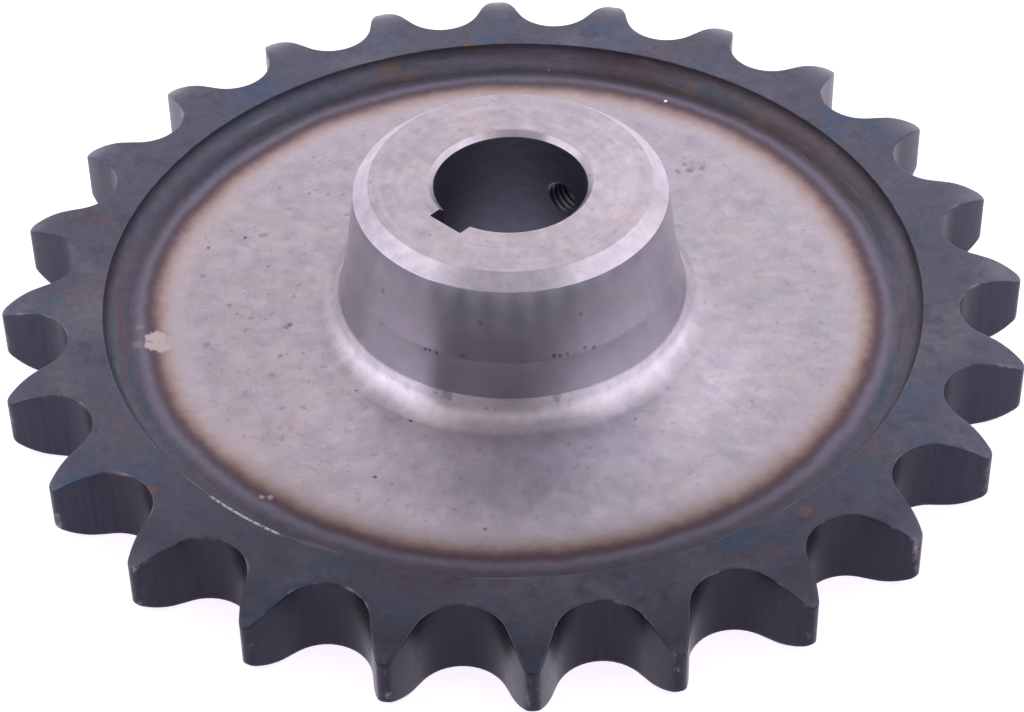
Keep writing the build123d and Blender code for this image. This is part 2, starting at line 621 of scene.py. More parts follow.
@dataclass(frozen=True)
class Sprocket:
    """The whole sprocket, as one welded piece."""

    teeth: Teeth = Teeth()
    blank: Blank = Blank()
    keyway: Keyway = Keyway()
    screw_hole: SetScrewHole = SetScrewHole()
    rim_edge_break: float = 0.3
    rim_edge_steps: int = 3
    rim_edge_angle: float = 45.0  # edges of the teeth sharper than this are broken
    shading_angle: float = 40.0  # edges sharper than this stay sharp in the shading
    wear_angles: Pair = (10.0, 22.0)  # raised edges this sharp begin to wear, and are fully worn
    bore_margin: float = 0.05  # faces this near to the bore's wall belong to it
    keyway_margin: float = 1.0  # faces this far past the keyway's floor still belong to it

    def is_across_joint(self, edge: BMEdge) -> bool:
        """Whether an edge lies on one of the circles where the toothed band meets the turned body.

        Args:
            edge: An edge of a sector.

        Returns:
            True for an edge along such a circle.
        """
        radii = [radius_of(vert.co) for vert in edge.verts]
        return any(
            all(abs(radius - circle) < WELD for radius in radii)
            for circle in (self.teeth.band_radius, self.blank.outer_radius)
        )

    def shape(self) -> BMesh:
        """Builds the sprocket before its bore is worked.

        Returns:
            The closed mesh, in millimetres.
        """
        mesh = bmesh.new()
        self.teeth.build_sector(mesh)
        self.blank.build_sector(mesh, self.teeth.pitch_angle, self.teeth.sector_steps)
        joint = [edge for edge in mesh.edges if edge.is_boundary and self.is_across_joint(edge)]
        for upper in (True, False):
            rings = [edge for edge in joint if (edge.verts[0].co.z > self.teeth.width / 2) == upper]
            bmesh.ops.bridge_loops(mesh, edges=rings)
        half_pitch = turn_by(self.teeth.pitch_angle / 2)
        bmesh.ops.rotate(mesh, verts=mesh.verts[:], cent=ORIGIN, matrix=half_pitch)
        copies = self.teeth.count - 1
        bmesh.ops.spin(
            mesh,
            geom=everything(mesh),
            cent=ORIGIN,
            axis=Z_AXIS,
            angle=radians(self.teeth.pitch_angle * copies),
            steps=copies,
            use_duplicate=True,
        )
        bmesh.ops.remove_doubles(mesh, verts=mesh.verts[:], dist=WELD)
        bmesh.ops.recalc_face_normals(mesh, faces=mesh.faces[:])
        sharp = [
            edge
            for edge in mesh.edges
            if radius_of(edge.verts[0].co) > self.teeth.band_radius
            and edge.calc_face_angle(0.0) > radians(self.rim_edge_angle)
        ]
        round_off(mesh, sharp, self.rim_edge_break, self.rim_edge_steps, "EDGES")
        return mesh

    def build(self) -> bpy.types.Object:
        """Builds the finished piece.

        Returns:
            The object, in metres and at the origin.
        """
        body = object_from(self.shape(), "sprocket_body")
        self.cut(
            body,
            object_from(self.keyway.cutter(self.blank.hub_height), "keyway_cutter"),
            object_from(self.screw_hole.cutter(), "screw_hole_cutter"),
            object_from(self.screw_hole.mouth_cutter(self.wall_radius), "screw_mouth_cutter"),
        )
        for vert in body.data.vertices:
            vert.co.z = max(vert.co.z, 0.0)
        self.dress(body.data)
        return body

    def cut(self, body: bpy.types.Object, *cutters: bpy.types.Object) -> None:
        """Cuts other solids out of the piece, and removes them.

        Args:
            body: The piece.
            *cutters: The solids.
        """
        for cutter in cutters:
            cut = body.modifiers.new(cutter.name, "BOOLEAN")
            cut.operation = "DIFFERENCE"
            cut.solver = "EXACT"
            cut.object = cutter
        evaluated = body.evaluated_get(bpy.context.evaluated_depsgraph_get())
        body.modifiers.clear()
        uncut = body.data
        body.data = bpy.data.meshes.new_from_object(evaluated)
        body.data.name = body.name
        bpy.data.meshes.remove(uncut)
        for cutter in cutters:
            bpy.data.objects.remove(cutter)

    def dress(self, data: bpy.types.Mesh) -> None:
        """Gives each region of the piece its finish, and marks its worn edges.

        Args:
            data: The piece's mesh, in metres.
        """
        for zone in Zone:
            data.materials.append(zone.finish.make())
        for face in data.polygons:
            face.material_index = list(Zone).index(self.zone_of(face))
            face.use_smooth = True
        data.set_sharp_from_angle(angle=radians(self.shading_angle))
        self.mark_wear(data)
        self.turn_normals(data)

    def zone_of(self, face: bpy.types.MeshPolygon) -> "Zone":
        """Tells which region a face belongs to.

        Args:
            face: A face, in metres.

        Returns:
            Its region.
        """
        centre = face.center / MM
        radius = radius_of(centre)
        if radius > self.blank.recess_radius:
            return Zone.RIM
        if centre.z < self.blank.bore_chamfer + WELD:
            return Zone.RIM if radius > self.blank.bore_radius + self.blank.bore_chamfer else Zone.BORE
        if radius > self.blank.foot_radius:
            return Zone.WEB
        on_bore = radius < self.blank.bore_radius + self.bore_margin
        in_keyway = abs(face.normal.z) < UPRIGHT and self.is_in_keyway(centre)
        return Zone.BORE if on_bore or in_keyway or self.is_in_screw_hole(centre) else Zone.HUB

    def is_in_keyway(self, point: Vector) -> bool:
        """Whether a point lies in or on the keyway.

        Args:
            point: The point, in millimetres.

        Returns:
            True from the axis to just past the keyway's floor.
        """
        reach = self.blank.bore_radius + self.keyway.depth + self.keyway_margin
        return point.y < 0 and abs(point.x) < self.keyway.width / 2 + WELD and radius_of(point) < reach

    def is_in_screw_hole(self, point: Vector) -> bool:
        """Whether a point lies in or on the set screw hole.

        Args:
            point: The point, in millimetres.

        Returns:
            True inside the thread's larger circle, out to just short of the hub's wall.
        """
        from_axis = hypot(point.x, point.z - self.screw_hole.height)
        is_near = from_axis < self.screw_hole.major_radius + WELD
        return is_near and point.y > 0 and radius_of(point) < self.blank.shoulder.x

    @property
    def wall_radius(self) -> float:
        """Radius of the hub's wall at the set screw hole."""
        return self.wall_radius_at(self.screw_hole.height)

    def wall_radius_at(self, height: float) -> float:
        """Radius of the hub's upper wall at a height."""
        return self.blank.shoulder.x + (self.blank.shoulder.z - height) * tan(radians(self.blank.hub_draft))

    def turn_normals(self, data: bpy.types.Mesh) -> None:
        """Gives the bore and the hub's upper wall the normals of turned faces, which the cuts bend.

        Args:
            data: The piece's mesh, in metres.
        """
        lean = radians(self.blank.hub_draft)
        normals = [corner.vector.copy() for corner in data.corner_normals]
        for face in data.polygons:
            if abs(face.normal.z) > UPRIGHT:
                continue
            points = [data.vertices[index].co / MM for index in face.vertices]
            on_bore = self.is_on_bore(points)
            if not (on_bore or self.is_on_wall(points)):
                continue
            for corner, point in zip(face.loop_indices, points):
                outward = Vector((point.x, point.y, 0.0)).normalized()
                normals[corner] = -outward if on_bore else outward * cos(lean) + Z_AXIS * sin(lean)
        data.normals_split_custom_set(normals)

    def is_on_bore(self, points: list[Vector]) -> bool:
        """Whether all points lie on the bore's wall."""
        return all(abs(radius_of(point) - self.blank.bore_radius) < TURNED for point in points)

    def is_on_wall(self, points: list[Vector]) -> bool:
        """Whether all points lie on the hub's upper wall."""
        return all(abs(radius_of(point) - self.wall_radius_at(point.z)) < TURNED for point in points)

    def mark_wear(self, data: bpy.types.Mesh) -> None:
        """Marks how worn each point is, from the sharpness of the raised edges that it lies on.

        Args:
            data: The piece's mesh.
        """
        least, most = self.wear_angles
        mesh = bmesh.new()
        mesh.from_mesh(data)
        layer = mesh.verts.layers.float.new(EDGE_WEAR)
        for vert in mesh.verts:
            sharpest = max(edge.calc_face_angle_signed(0.0) for edge in vert.link_edges)
            vert[layer] = min(1.0, max(0.0, (degrees(sharpest) - least) / (most - least)))
        mesh.to_mesh(data)
        mesh.free()


def object_from(mesh: BMesh, name: str) -> bpy.types.Object:
    """Makes an object of a mesh drawn in millimetres.

    Args:
        mesh: The mesh, which is freed.
        name: The object's name.

    Returns:
        The object, linked to the scene, in metres.
    """
    bmesh.ops.scale(mesh, verts=mesh.verts[:], vec=(MM, MM, MM))
    data = bpy.data.meshes.new(name)
    mesh.to_mesh(data)
    mesh.free()
    made = bpy.data.objects.new(name, data)
    bpy.context.scene.collection.objects.link(made)
    return made


@dataclass(frozen=True)
class Grain:
    """Soft noise, with the two values that it runs between or fades in between."""

    scale: float  # waves for each unit of its coordinates
    detail: float  # number of finer octaves
    roughness: float  # strength of the finer octaves
    ends: Pair


@dataclass(frozen=True)
class Relief:
    """Shallow relief made of soft noise."""

    scale: float  # waves for each unit of its coordinates
    detail: float
    roughness: float
    depth: float  # in millimetres


@dataclass(frozen=True)
class Specks:
    """Small scattered specks."""

    scale: float  # cells for each unit of its coordinates, with one possible speck in each
    size: float  # radius of the largest specks, as a share of a cell
    share: float  # the share of cells that have a speck
    strength: float


@dataclass(frozen=True)
class Sector:
    """A sector round the axis, with fading sides."""

    azimuth: float  # the direction of its middle
    reach: float  # angle from there to the middle of each fading side
    blur: float  # half the width of each fading side


@dataclass(frozen=True)
class Mark:
    """A single stain, pit or rubbed spot on the steel, or a painted glint or highlight."""

    radius: float
    azimuth: float
    size: float
    height: float = 12.0
    strength: float = 1.0
    softness: float = 0.5


@dataclass(frozen=True)
class Tone:
    """A tone that lies on the steel in soft patches."""

    colour: Colour
    scale: float  # patches for each millimetre
    share: Pair  # noise values that a patch fades in between
    strength: float = 1.0


@dataclass(frozen=True)
class Lane:
    """A tone that lies in streaks round the axis."""

    colour: Colour
    pitch: float  # distance from streak to streak
    sweep: float  # how fast a streak changes on its way round
    grain: Grain


class Nodes:
    """Adds nodes to one node tree, and links them up."""

    NOISE_MIDDLE: Triple = (0.5, 0.5, 0.5)
    WARP: Pair = (3.0, 0.5)  # detail and roughness of the noise that bends coordinates
    SMALLEST_SPECK: float = 0.45  # as a share of the largest
    SPECK_EDGE: Pair = (1.0, 0.4)  # shares of a speck's radius that it fades in between

    def __init__(self, tree: bpy.types.NodeTree) -> None:
        """Keeps the tree to work in.

        Args:
            tree: The node tree of a material or a world.
        """
        self.tree = tree

    def plug(self, value: Value, socket: Socket) -> None:
        """Feeds a socket.

        Args:
            value: A socket to link, or a plain value to set.
            socket: The socket to feed.
        """
        if isinstance(value, Socket):
            self.tree.links.new(value, socket)
        elif socket.type == "RGBA":
            socket.default_value = (*value, 1.0)
        else:
            socket.default_value = value

    def parts(self, vector: Value) -> tuple[Socket, ...]:
        """Splits a vector.

        Args:
            vector: The vector.

        Returns:
            Its three parts.
        """
        node = self.tree.nodes.new("ShaderNodeSeparateXYZ")
        self.plug(vector, node.inputs[0])
        return tuple(node.outputs)

    def vector(self, *parts: Value) -> Socket:
        """Joins three numbers.

        Args:
            *parts: The three numbers.

        Returns:
            The vector.
        """
        node = self.tree.nodes.new("ShaderNodeCombineXYZ")
        for part, socket in zip(parts, node.inputs):
            self.plug(part, socket)
        return node.outputs[0]

    def combine(self, operation: str, first: Value, second: Value | None = None) -> Socket:
        """Adds one step of vector arithmetic.

        Args:
            operation: The step's name.
            first: The first vector.
            second: The second vector, where the step has one.

        Returns:
            The number for a length, a distance or a dot product, and otherwise the vector.
        """
        node = self.tree.nodes.new("ShaderNodeVectorMath")
        node.operation = operation
        self.plug(first, node.inputs[0])
        if second is not None:
            self.plug(second, node.inputs[1])
        is_number = operation in ("LENGTH", "DISTANCE", "DOT_PRODUCT")
        return node.outputs["Value" if is_number else "Vector"]

    def math(self, operation: str, *values: Value) -> Socket:
        """Adds one step of arithmetic.

        Args:
            operation: The step's name.
            *values: Its sockets or numbers.

        Returns:
            The result.
        """
        node = self.tree.nodes.new("ShaderNodeMath")
        node.operation = operation
        for value, socket in zip(values, node.inputs):
            self.plug(value, socket)
        return node.outputs[0]

    def product(self, first: Value, *others: Value) -> Value:
        """Multiplies numbers.

        Args:
            first: The first number.
            *others: The numbers that it is multiplied by.

        Returns:
            The product.
        """
        for other in others:
            first = self.math("MULTIPLY", first, other)
        return first

    def apart(self, first: Value, second: Value) -> Socket:
        """How far two numbers are apart."""
        return self.math("ABSOLUTE", self.math("SUBTRACT", first, second))

    def fade(self, value: Value, low: Value, high: Value) -> Socket:
        """Eases from 0 to 1.

        Args:
            value: The value to follow.
            low: Where the result is 0.
            high: Where the result is 1.

        Returns:
            The eased value.
        """
        node = self.tree.nodes.new("ShaderNodeMapRange")
        node.interpolation_type = "SMOOTHSTEP"
        self.plug(value, node.inputs["Value"])
        self.plug(low, node.inputs["From Min"])
        self.plug(high, node.inputs["From Max"])
        return node.outputs["Result"]

    def span(self, value: Value, low: Value, high: Value) -> Socket:
        """Brings a value that runs from 0 to 1 between two others.

        Args:
            value: The value.
            low: What 0 becomes.
            high: What 1 becomes.

        Returns:
            The value between them.
        """
        node = self.tree.nodes.new("ShaderNodeMapRange")
        self.plug(value, node.inputs["Value"])
        self.plug(low, node.inputs["To Min"])
        self.plug(high, node.inputs["To Max"])
        return node.outputs["Result"]

    def noise(self, vector: Value, scale: float, detail: float, roughness: float) -> bpy.types.Node:
        """Adds soft noise.

        Args:
            vector: Where to read it.
            scale: Waves for each unit of the vector.
            detail: Number of finer octaves.
            roughness: Strength of the finer octaves.

        Returns:
            The node, whose values are about 0.5.
        """
        node = self.tree.nodes.new("ShaderNodeTexNoise")
        self.plug(vector, node.inputs["Vector"])
        node.inputs["Scale"].default_value = scale
        node.inputs["Detail"].default_value = detail
        node.inputs["Roughness"].default_value = roughness
        return node

    def varied(self, vector: Value, grain: Grain) -> Socket:
        """Varies a number between the two ends of a grain.

        Args:
            vector: Where to read the grain.
            grain: The grain.

        Returns:
            The number.
        """
        noise = self.noise(vector, grain.scale, grain.detail, grain.roughness)
        return self.span(noise.outputs["Fac"], *grain.ends)

    def patchy(self, vector: Value, grain: Grain) -> Socket:
        """Lays patches where a grain passes from one of its ends to the other.

        Args:
            vector: Where to read the grain.
            grain: The grain.

        Returns:
            1 inside a patch and 0 outside.
        """
        noise = self.noise(vector, grain.scale, grain.detail, grain.roughness)
        return self.fade(noise.outputs["Fac"], *grain.ends)

    def specks(self, vector: Value, specks: Specks) -> Socket:
        """Adds small scattered specks.

        Args:
            vector: Where to read them.
            specks: The specks.

        Returns:
            Their strength inside a speck and 0 outside.
        """
        node = self.tree.nodes.new("ShaderNodeTexVoronoi")
        self.plug(vector, node.inputs["Vector"])
        node.inputs["Scale"].default_value = specks.scale
        chance, bulk, _ = self.parts(node.outputs["Color"])
        reach = self.span(bulk, specks.size * self.SMALLEST_SPECK, specks.size)
        inside = self.fade(self.math("DIVIDE", node.outputs["Distance"], reach), *self.SPECK_EDGE)
        return self.product(inside, self.math("LESS_THAN", chance, specks.share), specks.strength)

    def warped(self, vector: Value, scale: float, amount: float) -> Socket:
        """Bends coordinates, so that a pattern read at them looks torn.

        Args:
            vector: The coordinates.
            scale: Bends for each unit.
            amount: How far they bend.

        Returns:
            The bent coordinates.
        """
        noise = self.noise(vector, scale, *self.WARP)
        bend = self.combine("SUBTRACT", noise.outputs["Color"], self.NOISE_MIDDLE)
        return self.combine("ADD", vector, self.combine("MULTIPLY", bend, (amount, amount, amount)))

    def blend(self, share: Value, first: Value, second: Value, kind: str = "MIX") -> Socket:
        """Mixes two colours.

        Args:
            share: How much of the second, from 0 to 1.
            first: The first colour.
            second: The second colour.
            kind: The way that they mix.

        Returns:
            The mixed colour.
        """
        node = self.tree.nodes.new("ShaderNodeMix")
        node.data_type = "RGBA"
        node.blend_type = kind
        sockets = {socket.identifier: socket for socket in (*node.inputs, *node.outputs)}
        self.plug(share, sockets["Factor_Float"])
        self.plug(first, sockets["A_Color"])
        self.plug(second, sockets["B_Color"])
        return sockets["Result_Color"]

    def shade(self, colour: Value, amount: Value) -> Socket:
        """Lightens or darkens a colour by a factor."""
        return self.blend(1.0, colour, self.vector(amount, amount, amount), "MULTIPLY")

    def ramp(self, value: Value, stops: Stops) -> Socket:
        """Colours a value by a row of stops.

        Args:
            value: The value to colour.
            stops: Pairs of value and colour, in rising order.

        Returns:
            The colour.
        """
        low, high = stops[0][0], stops[-1][0]
        node = self.tree.nodes.new("ShaderNodeValToRGB")
        placed = self.math("DIVIDE", self.math("SUBTRACT", value, low), high - low)
        self.plug(placed, node.inputs["Fac"])
        elements = node.color_ramp.elements
        elements[0].color = (*stops[0][1], 1.0)
        elements[1].color = (*stops[-1][1], 1.0)
        for place, colour in stops[1:-1]:
            element = elements.new((place - low) / (high - low))
            element.color = (*colour, 1.0)
        return node.outputs["Color"]


class ShaderDesk(Nodes):
    """The shader nodes of one metal finish, on object coordinates in millimetres."""

    PATCH: Pair = (5.0, 0.62)  # detail and roughness of the noise that patches follow
    PATCH_SHIFT: float = 71.0  # distance between the noises of two tones, so that they differ
    TORN_EDGE: Grain = Grain(0.9, 4.0, 0.65, (-0.8, 0.8))

    def __init__(self, name: str) -> None:
        """Makes a material with its shader and its coordinates.

        Args:
            name: The material's name.
        """
        self.material = bpy.data.materials.new(name)
        self.material.use_nodes = True
        super().__init__(self.material.node_tree)
        self.shader = self.tree.nodes["Principled BSDF"]
        self.shader.inputs["Metallic"].default_value = 1.0
        coordinates = self.tree.nodes.new("ShaderNodeTexCoord")
        to_mm = self.tree.nodes.new("ShaderNodeMapping")
        to_mm.inputs["Scale"].default_value = (1 / MM, 1 / MM, 1 / MM)
        self.plug(coordinates.outputs["Object"], to_mm.inputs["Vector"])
        self.position = to_mm.outputs["Vector"]
        self.x, self.y, self.z = self.parts(self.position)
        flat = self.vector(self.x, self.y, 0.0)
        self.radius = self.combine("LENGTH", flat)
        self.cosine, self.sine, _ = self.parts(self.combine("NORMALIZE", flat))

    def rings(self, along: Value, pitch: float, sweep: float = 1.0) -> Socket:
        """Coordinates for marks that run round the axis.

        Args:
            along: Distance along the turned section, in millimetres.
            pitch: Distance from mark to mark.
            sweep: How fast a mark changes on its way round.

        Returns:
            The coordinates, for noise of scale 1.
        """
        spread = [self.product(part, sweep) for part in (self.cosine, self.sine)]
        return self.vector(self.math("DIVIDE", along, pitch), *spread)

    def streaks(self, azimuth: float, length: float, width: float) -> Socket:
        """Coordinates for straight marks that lie in one direction.

        Args:
            azimuth: The direction that they run in.
            length: Their length.
            width: Their width.

        Returns:
            The coordinates, for noise of scale 1.
        """
        turn = radians(azimuth)
        along = (cos(turn) / length, sin(turn) / length, 0.0)
        across = (-sin(turn) / width, cos(turn) / width, 0.0)
        u = self.combine("DOT_PRODUCT", self.position, along)
        v = self.combine("DOT_PRODUCT", self.position, across)
        return self.vector(u, v, self.math("DIVIDE", self.z, width))

    def inside(self, sector: Sector) -> Socket:
        """Picks out a sector.

        Args:
            sector: The sector.

        Returns:
            1 inside the sector and 0 outside.
        """
        turn = radians(sector.azimuth)
        middle = (cos(turn), sin(turn), 0.0)
        closeness = self.combine("DOT_PRODUCT", self.vector(self.cosine, self.sine, 0.0), middle)
        outer = radians(sector.reach + sector.blur)
        inner = radians(max(0.0, sector.reach - sector.blur))
        return self.fade(closeness, cos(outer), cos(inner))

    def patches(self, colour: Value, tones: tuple[Tone, ...]) -> Value:
        """Lays soft patches of other tones over a colour.

        Args:
            colour: The colour under them.
            tones: The tones, the first one lowest.

        Returns:
            The patchy colour.
        """
        for number, tone in enumerate(tones, 1):
            moved = self.combine("ADD", self.position, (self.PATCH_SHIFT * number, 0.0, 0.0))
            grain = Grain(tone.scale, *self.PATCH, tone.share)
            share = self.product(self.patchy(moved, grain), tone.strength)
            colour = self.blend(share, colour, tone.colour)
        return colour

    @cached_property
    def ragged(self) -> Socket:
        """Fine noise that tears the edges of marks."""
        return self.varied(self.position, self.TORN_EDGE)

    def spot(self, mark: Mark) -> Socket:
        """Adds a single mark.

        Args:
            mark: The mark.

        Returns:
            Its strength inside it, fading to 0 outside.
        """
        turn = radians(mark.azimuth)
        centre = (mark.radius * cos(turn), mark.radius * sin(turn), mark.height)
        away = self.math("DIVIDE", self.combine("DISTANCE", self.position, centre), mark.size)
        inside = self.fade(self.math("ADD", away, self.ragged), 1.0, 1.0 - mark.softness)
        return self.product(inside, mark.strength)

    def marked(self, colour: Value, marks: tuple[Mark, ...], tone: Colour) -> Value:
        """Lays marks of one tone over a colour.

        Args:
            colour: The colour under them.
            marks: The marks.
            tone: Their tone.

        Returns:
            The marked colour.
        """
        for mark in marks:
            colour = self.blend(self.spot(mark), colour, tone)
        return colour

    def bump(self, vector: Value, relief: Relief, under: Socket | None = None) -> Socket:
        """Adds relief.

        Args:
            vector: Where to read the relief.
            relief: The relief.
            under: The normal that this relief is laid over.

        Returns:
            The bent normal.
        """
        noise = self.noise(vector, relief.scale, relief.detail, relief.roughness)
        node = self.tree.nodes.new("ShaderNodeBump")
        node.inputs["Distance"].default_value = relief.depth * MM
        self.plug(noise.outputs["Fac"], node.inputs["Height"])
        if under is not None:
            self.plug(under, node.inputs["Normal"])
        return node.outputs["Normal"]

    def attribute(self, name: str) -> Socket:
        """Reads a number kept on the mesh.

        Args:
            name: The attribute's name.

        Returns:
            The number.
        """
        node = self.tree.nodes.new("ShaderNodeAttribute")
        node.attribute_name = name
        return node.outputs["Fac"]

    def finish(self, colour: Value, roughness: Value, normal: Value) -> bpy.types.Material:
        """Feeds the shader.

        Args:
            colour: The base colour.
            roughness: The roughness.
            normal: The bent normal.

        Returns:
            The finished material.
        """
        self.plug(colour, self.shader.inputs["Base Color"])
        self.plug(roughness, self.shader.inputs["Roughness"])
        self.plug(normal, self.shader.inputs["Normal"])
        return self.material


@dataclass(frozen=True)
class BareSteel:
    """Bare turned steel, with soft blotches, tool marks and dark specks."""

    light: Colour = (0.53, 0.495, 0.525)
    deep: Colour = (0.43, 0.405, 0.44)
    clouds: Grain = Grain(0.22, 5.0, 0.62, (0.30, 0.70))
    tones: tuple[Tone, ...] = (
        Tone((0.55, 0.49, 0.475), 0.07, (0.48, 0.70), 0.70),
        Tone((0.46, 0.445, 0.44), 0.11, (0.50, 0.68), 0.60),
        Tone((0.43, 0.40, 0.45), 0.19, (0.52, 0.70), 0.60),
        Tone((0.36, 0.33, 0.36), 0.38, (0.57, 0.72), 0.55),
    )
    blotches: Grain = Grain(0.45, 4.0, 0.58, (0.85, 1.15))
    tool_marks: Grain = Grain(1.0, 3.0, 0.7, (0.94, 1.06))
    tool_pitch: float = 0.5
    speck: Colour = (0.17, 0.14, 0.17)
    tear: Pair = (0.9, 1.6)  # bends of the specks for each millimetre, and how far they bend
    fine_specks: Specks = Specks(0.55, 0.24, 0.14, 0.45)
    coarse_specks: Specks = Specks(0.22, 0.16, 0.16, 0.60)
    grain_relief: Relief = Relief(1.4, 4.0, 0.6, 0.010)
    tool_relief: Relief = Relief(1.0, 3.0, 0.5, 0.008)

    def colour(self, desk: ShaderDesk, rings: Socket) -> Value:
        """Adds the colour's nodes.

        Args:
            desk: The finish that they belong to.
            rings: Coordinates that follow the tool round the axis.

        Returns:
            The colour.
        """
        colour = desk.blend(desk.patchy(desk.position, self.clouds), self.deep, self.light)
        colour = desk.patches(colour, self.tones)
        colour = desk.shade(colour, desk.varied(desk.position, self.blotches))
        colour = desk.shade(colour, desk.varied(rings, self.tool_marks))
        torn = desk.warped(desk.position, *self.tear)
        specks = [desk.specks(torn, kind) for kind in (self.fine_specks, self.coarse_specks)]
        return desk.blend(desk.math("MAXIMUM", *specks), colour, self.speck)

    def relief(self, desk: ShaderDesk, rings: Socket) -> Socket:
        """Adds the grain's relief, and that of the tool marks over it.

        Args:
            desk: The finish that the nodes belong to.
            rings: Coordinates that follow the tool round the axis.

        Returns:
            The bent normal.
        """
        return desk.bump(rings, self.tool_relief, desk.bump(desk.position, self.grain_relief))


@dataclass(frozen=True)
class WebToneAndPaintedLight:
    """How bright and how warm bare steel is on each side of the hub, on the web and at the foot: painted
    light beside the hub on one side, painted shade in front at its foot, and painted shade with a warm tone
    on the left.
    """

    gain: float = 0.905
    painted_light_side: Sector = Sector(-34.0, 55.0, 25.0)  # where painted light makes it brighter beside the hub
    painted_light_radius: Pair = (62.0, 44.0)
    painted_light_gain: float = 0.32
    painted_shade_side: Sector = Sector(FRONT, 18.0, 8.0)  # where painted shade makes it dimmer at the hub's foot
    painted_shade_radius: Pair = (46.0, 40.5)
    painted_shade_factor: float = 0.76
    # a warm tone on the left, darkened there as painted shade
    warm_shaded_side: Sector = Sector(-115.0, 60.0, 30.0)
    warmth_and_painted_shade: Colour = (0.96, 0.93, 0.905)

    def over(self, desk: ShaderDesk, colour: Value) -> Socket:
        """Lays the tone, with its painted light and painted shade, over a colour.

        Args:
            desk: The finish that the nodes belong to.
            colour: The colour.

        Returns:
            The toned colour.
        """
        # painted light beside the hub on one side, and painted shade in front at the hub's foot
        painted_light_share = desk.product(desk.inside(self.painted_light_side), desk.fade(desk.radius, *self.painted_light_radius))
        painted_shade_share = desk.product(desk.inside(self.painted_shade_side), desk.fade(desk.radius, *self.painted_shade_radius))
        colour = desk.shade(colour, desk.span(painted_light_share, self.gain, self.gain * (1.0 + self.painted_light_gain)))
        colour = desk.shade(colour, desk.span(painted_shade_share, 1.0, self.painted_shade_factor))
        # warm tone and painted shade on the left
        return desk.blend(desk.inside(self.warm_shaded_side), colour, self.warmth_and_painted_shade, "MULTIPLY")


class HubDesk(ShaderDesk):
    """The shader nodes of the hub, which know its foot, wall, chamfer and end."""

    def __init__(self, foot: Pair, chamfer: Pair, end: Pair) -> None:
        """Makes the material, and tells the hub's faces apart by height.

        Args:
            foot: Heights that the foot fades in between.
            chamfer: Heights that the chamfer fades in between.
            end: Heights that the flat end fades in between.
        """
        super().__init__("hub_turned_steel")
        self.foot = self.fade(self.z, *foot)
        self.upper = self.fade(self.z, *chamfer)
        self.end = self.fade(self.z, *end)
        self.off_wall = self.math("MAXIMUM", self.foot, self.upper)
        self.wall = self.math("SUBTRACT", 1.0, self.off_wall)
        self.chamfer = self.product(self.upper, self.math("SUBTRACT", 1.0, self.end))

    def lay_grain_round(self, anisotropy: float, turn: float) -> None:
        """Draws out reflections across the tool marks, which run round the axis.

        Args:
            anisotropy: How far they are drawn out.
            turn: The share of a full turn from the marks to that direction.
        """
        tangent = self.tree.nodes.new("ShaderNodeTangent")
        tangent.direction_type = "RADIAL"
        tangent.axis = "Z"
        self.plug(tangent.outputs["Tangent"], self.shader.inputs["Tangent"])
        self.shader.inputs["Anisotropic"].default_value = anisotropy
        self.shader.inputs["Anisotropic Rotation"].default_value = turn


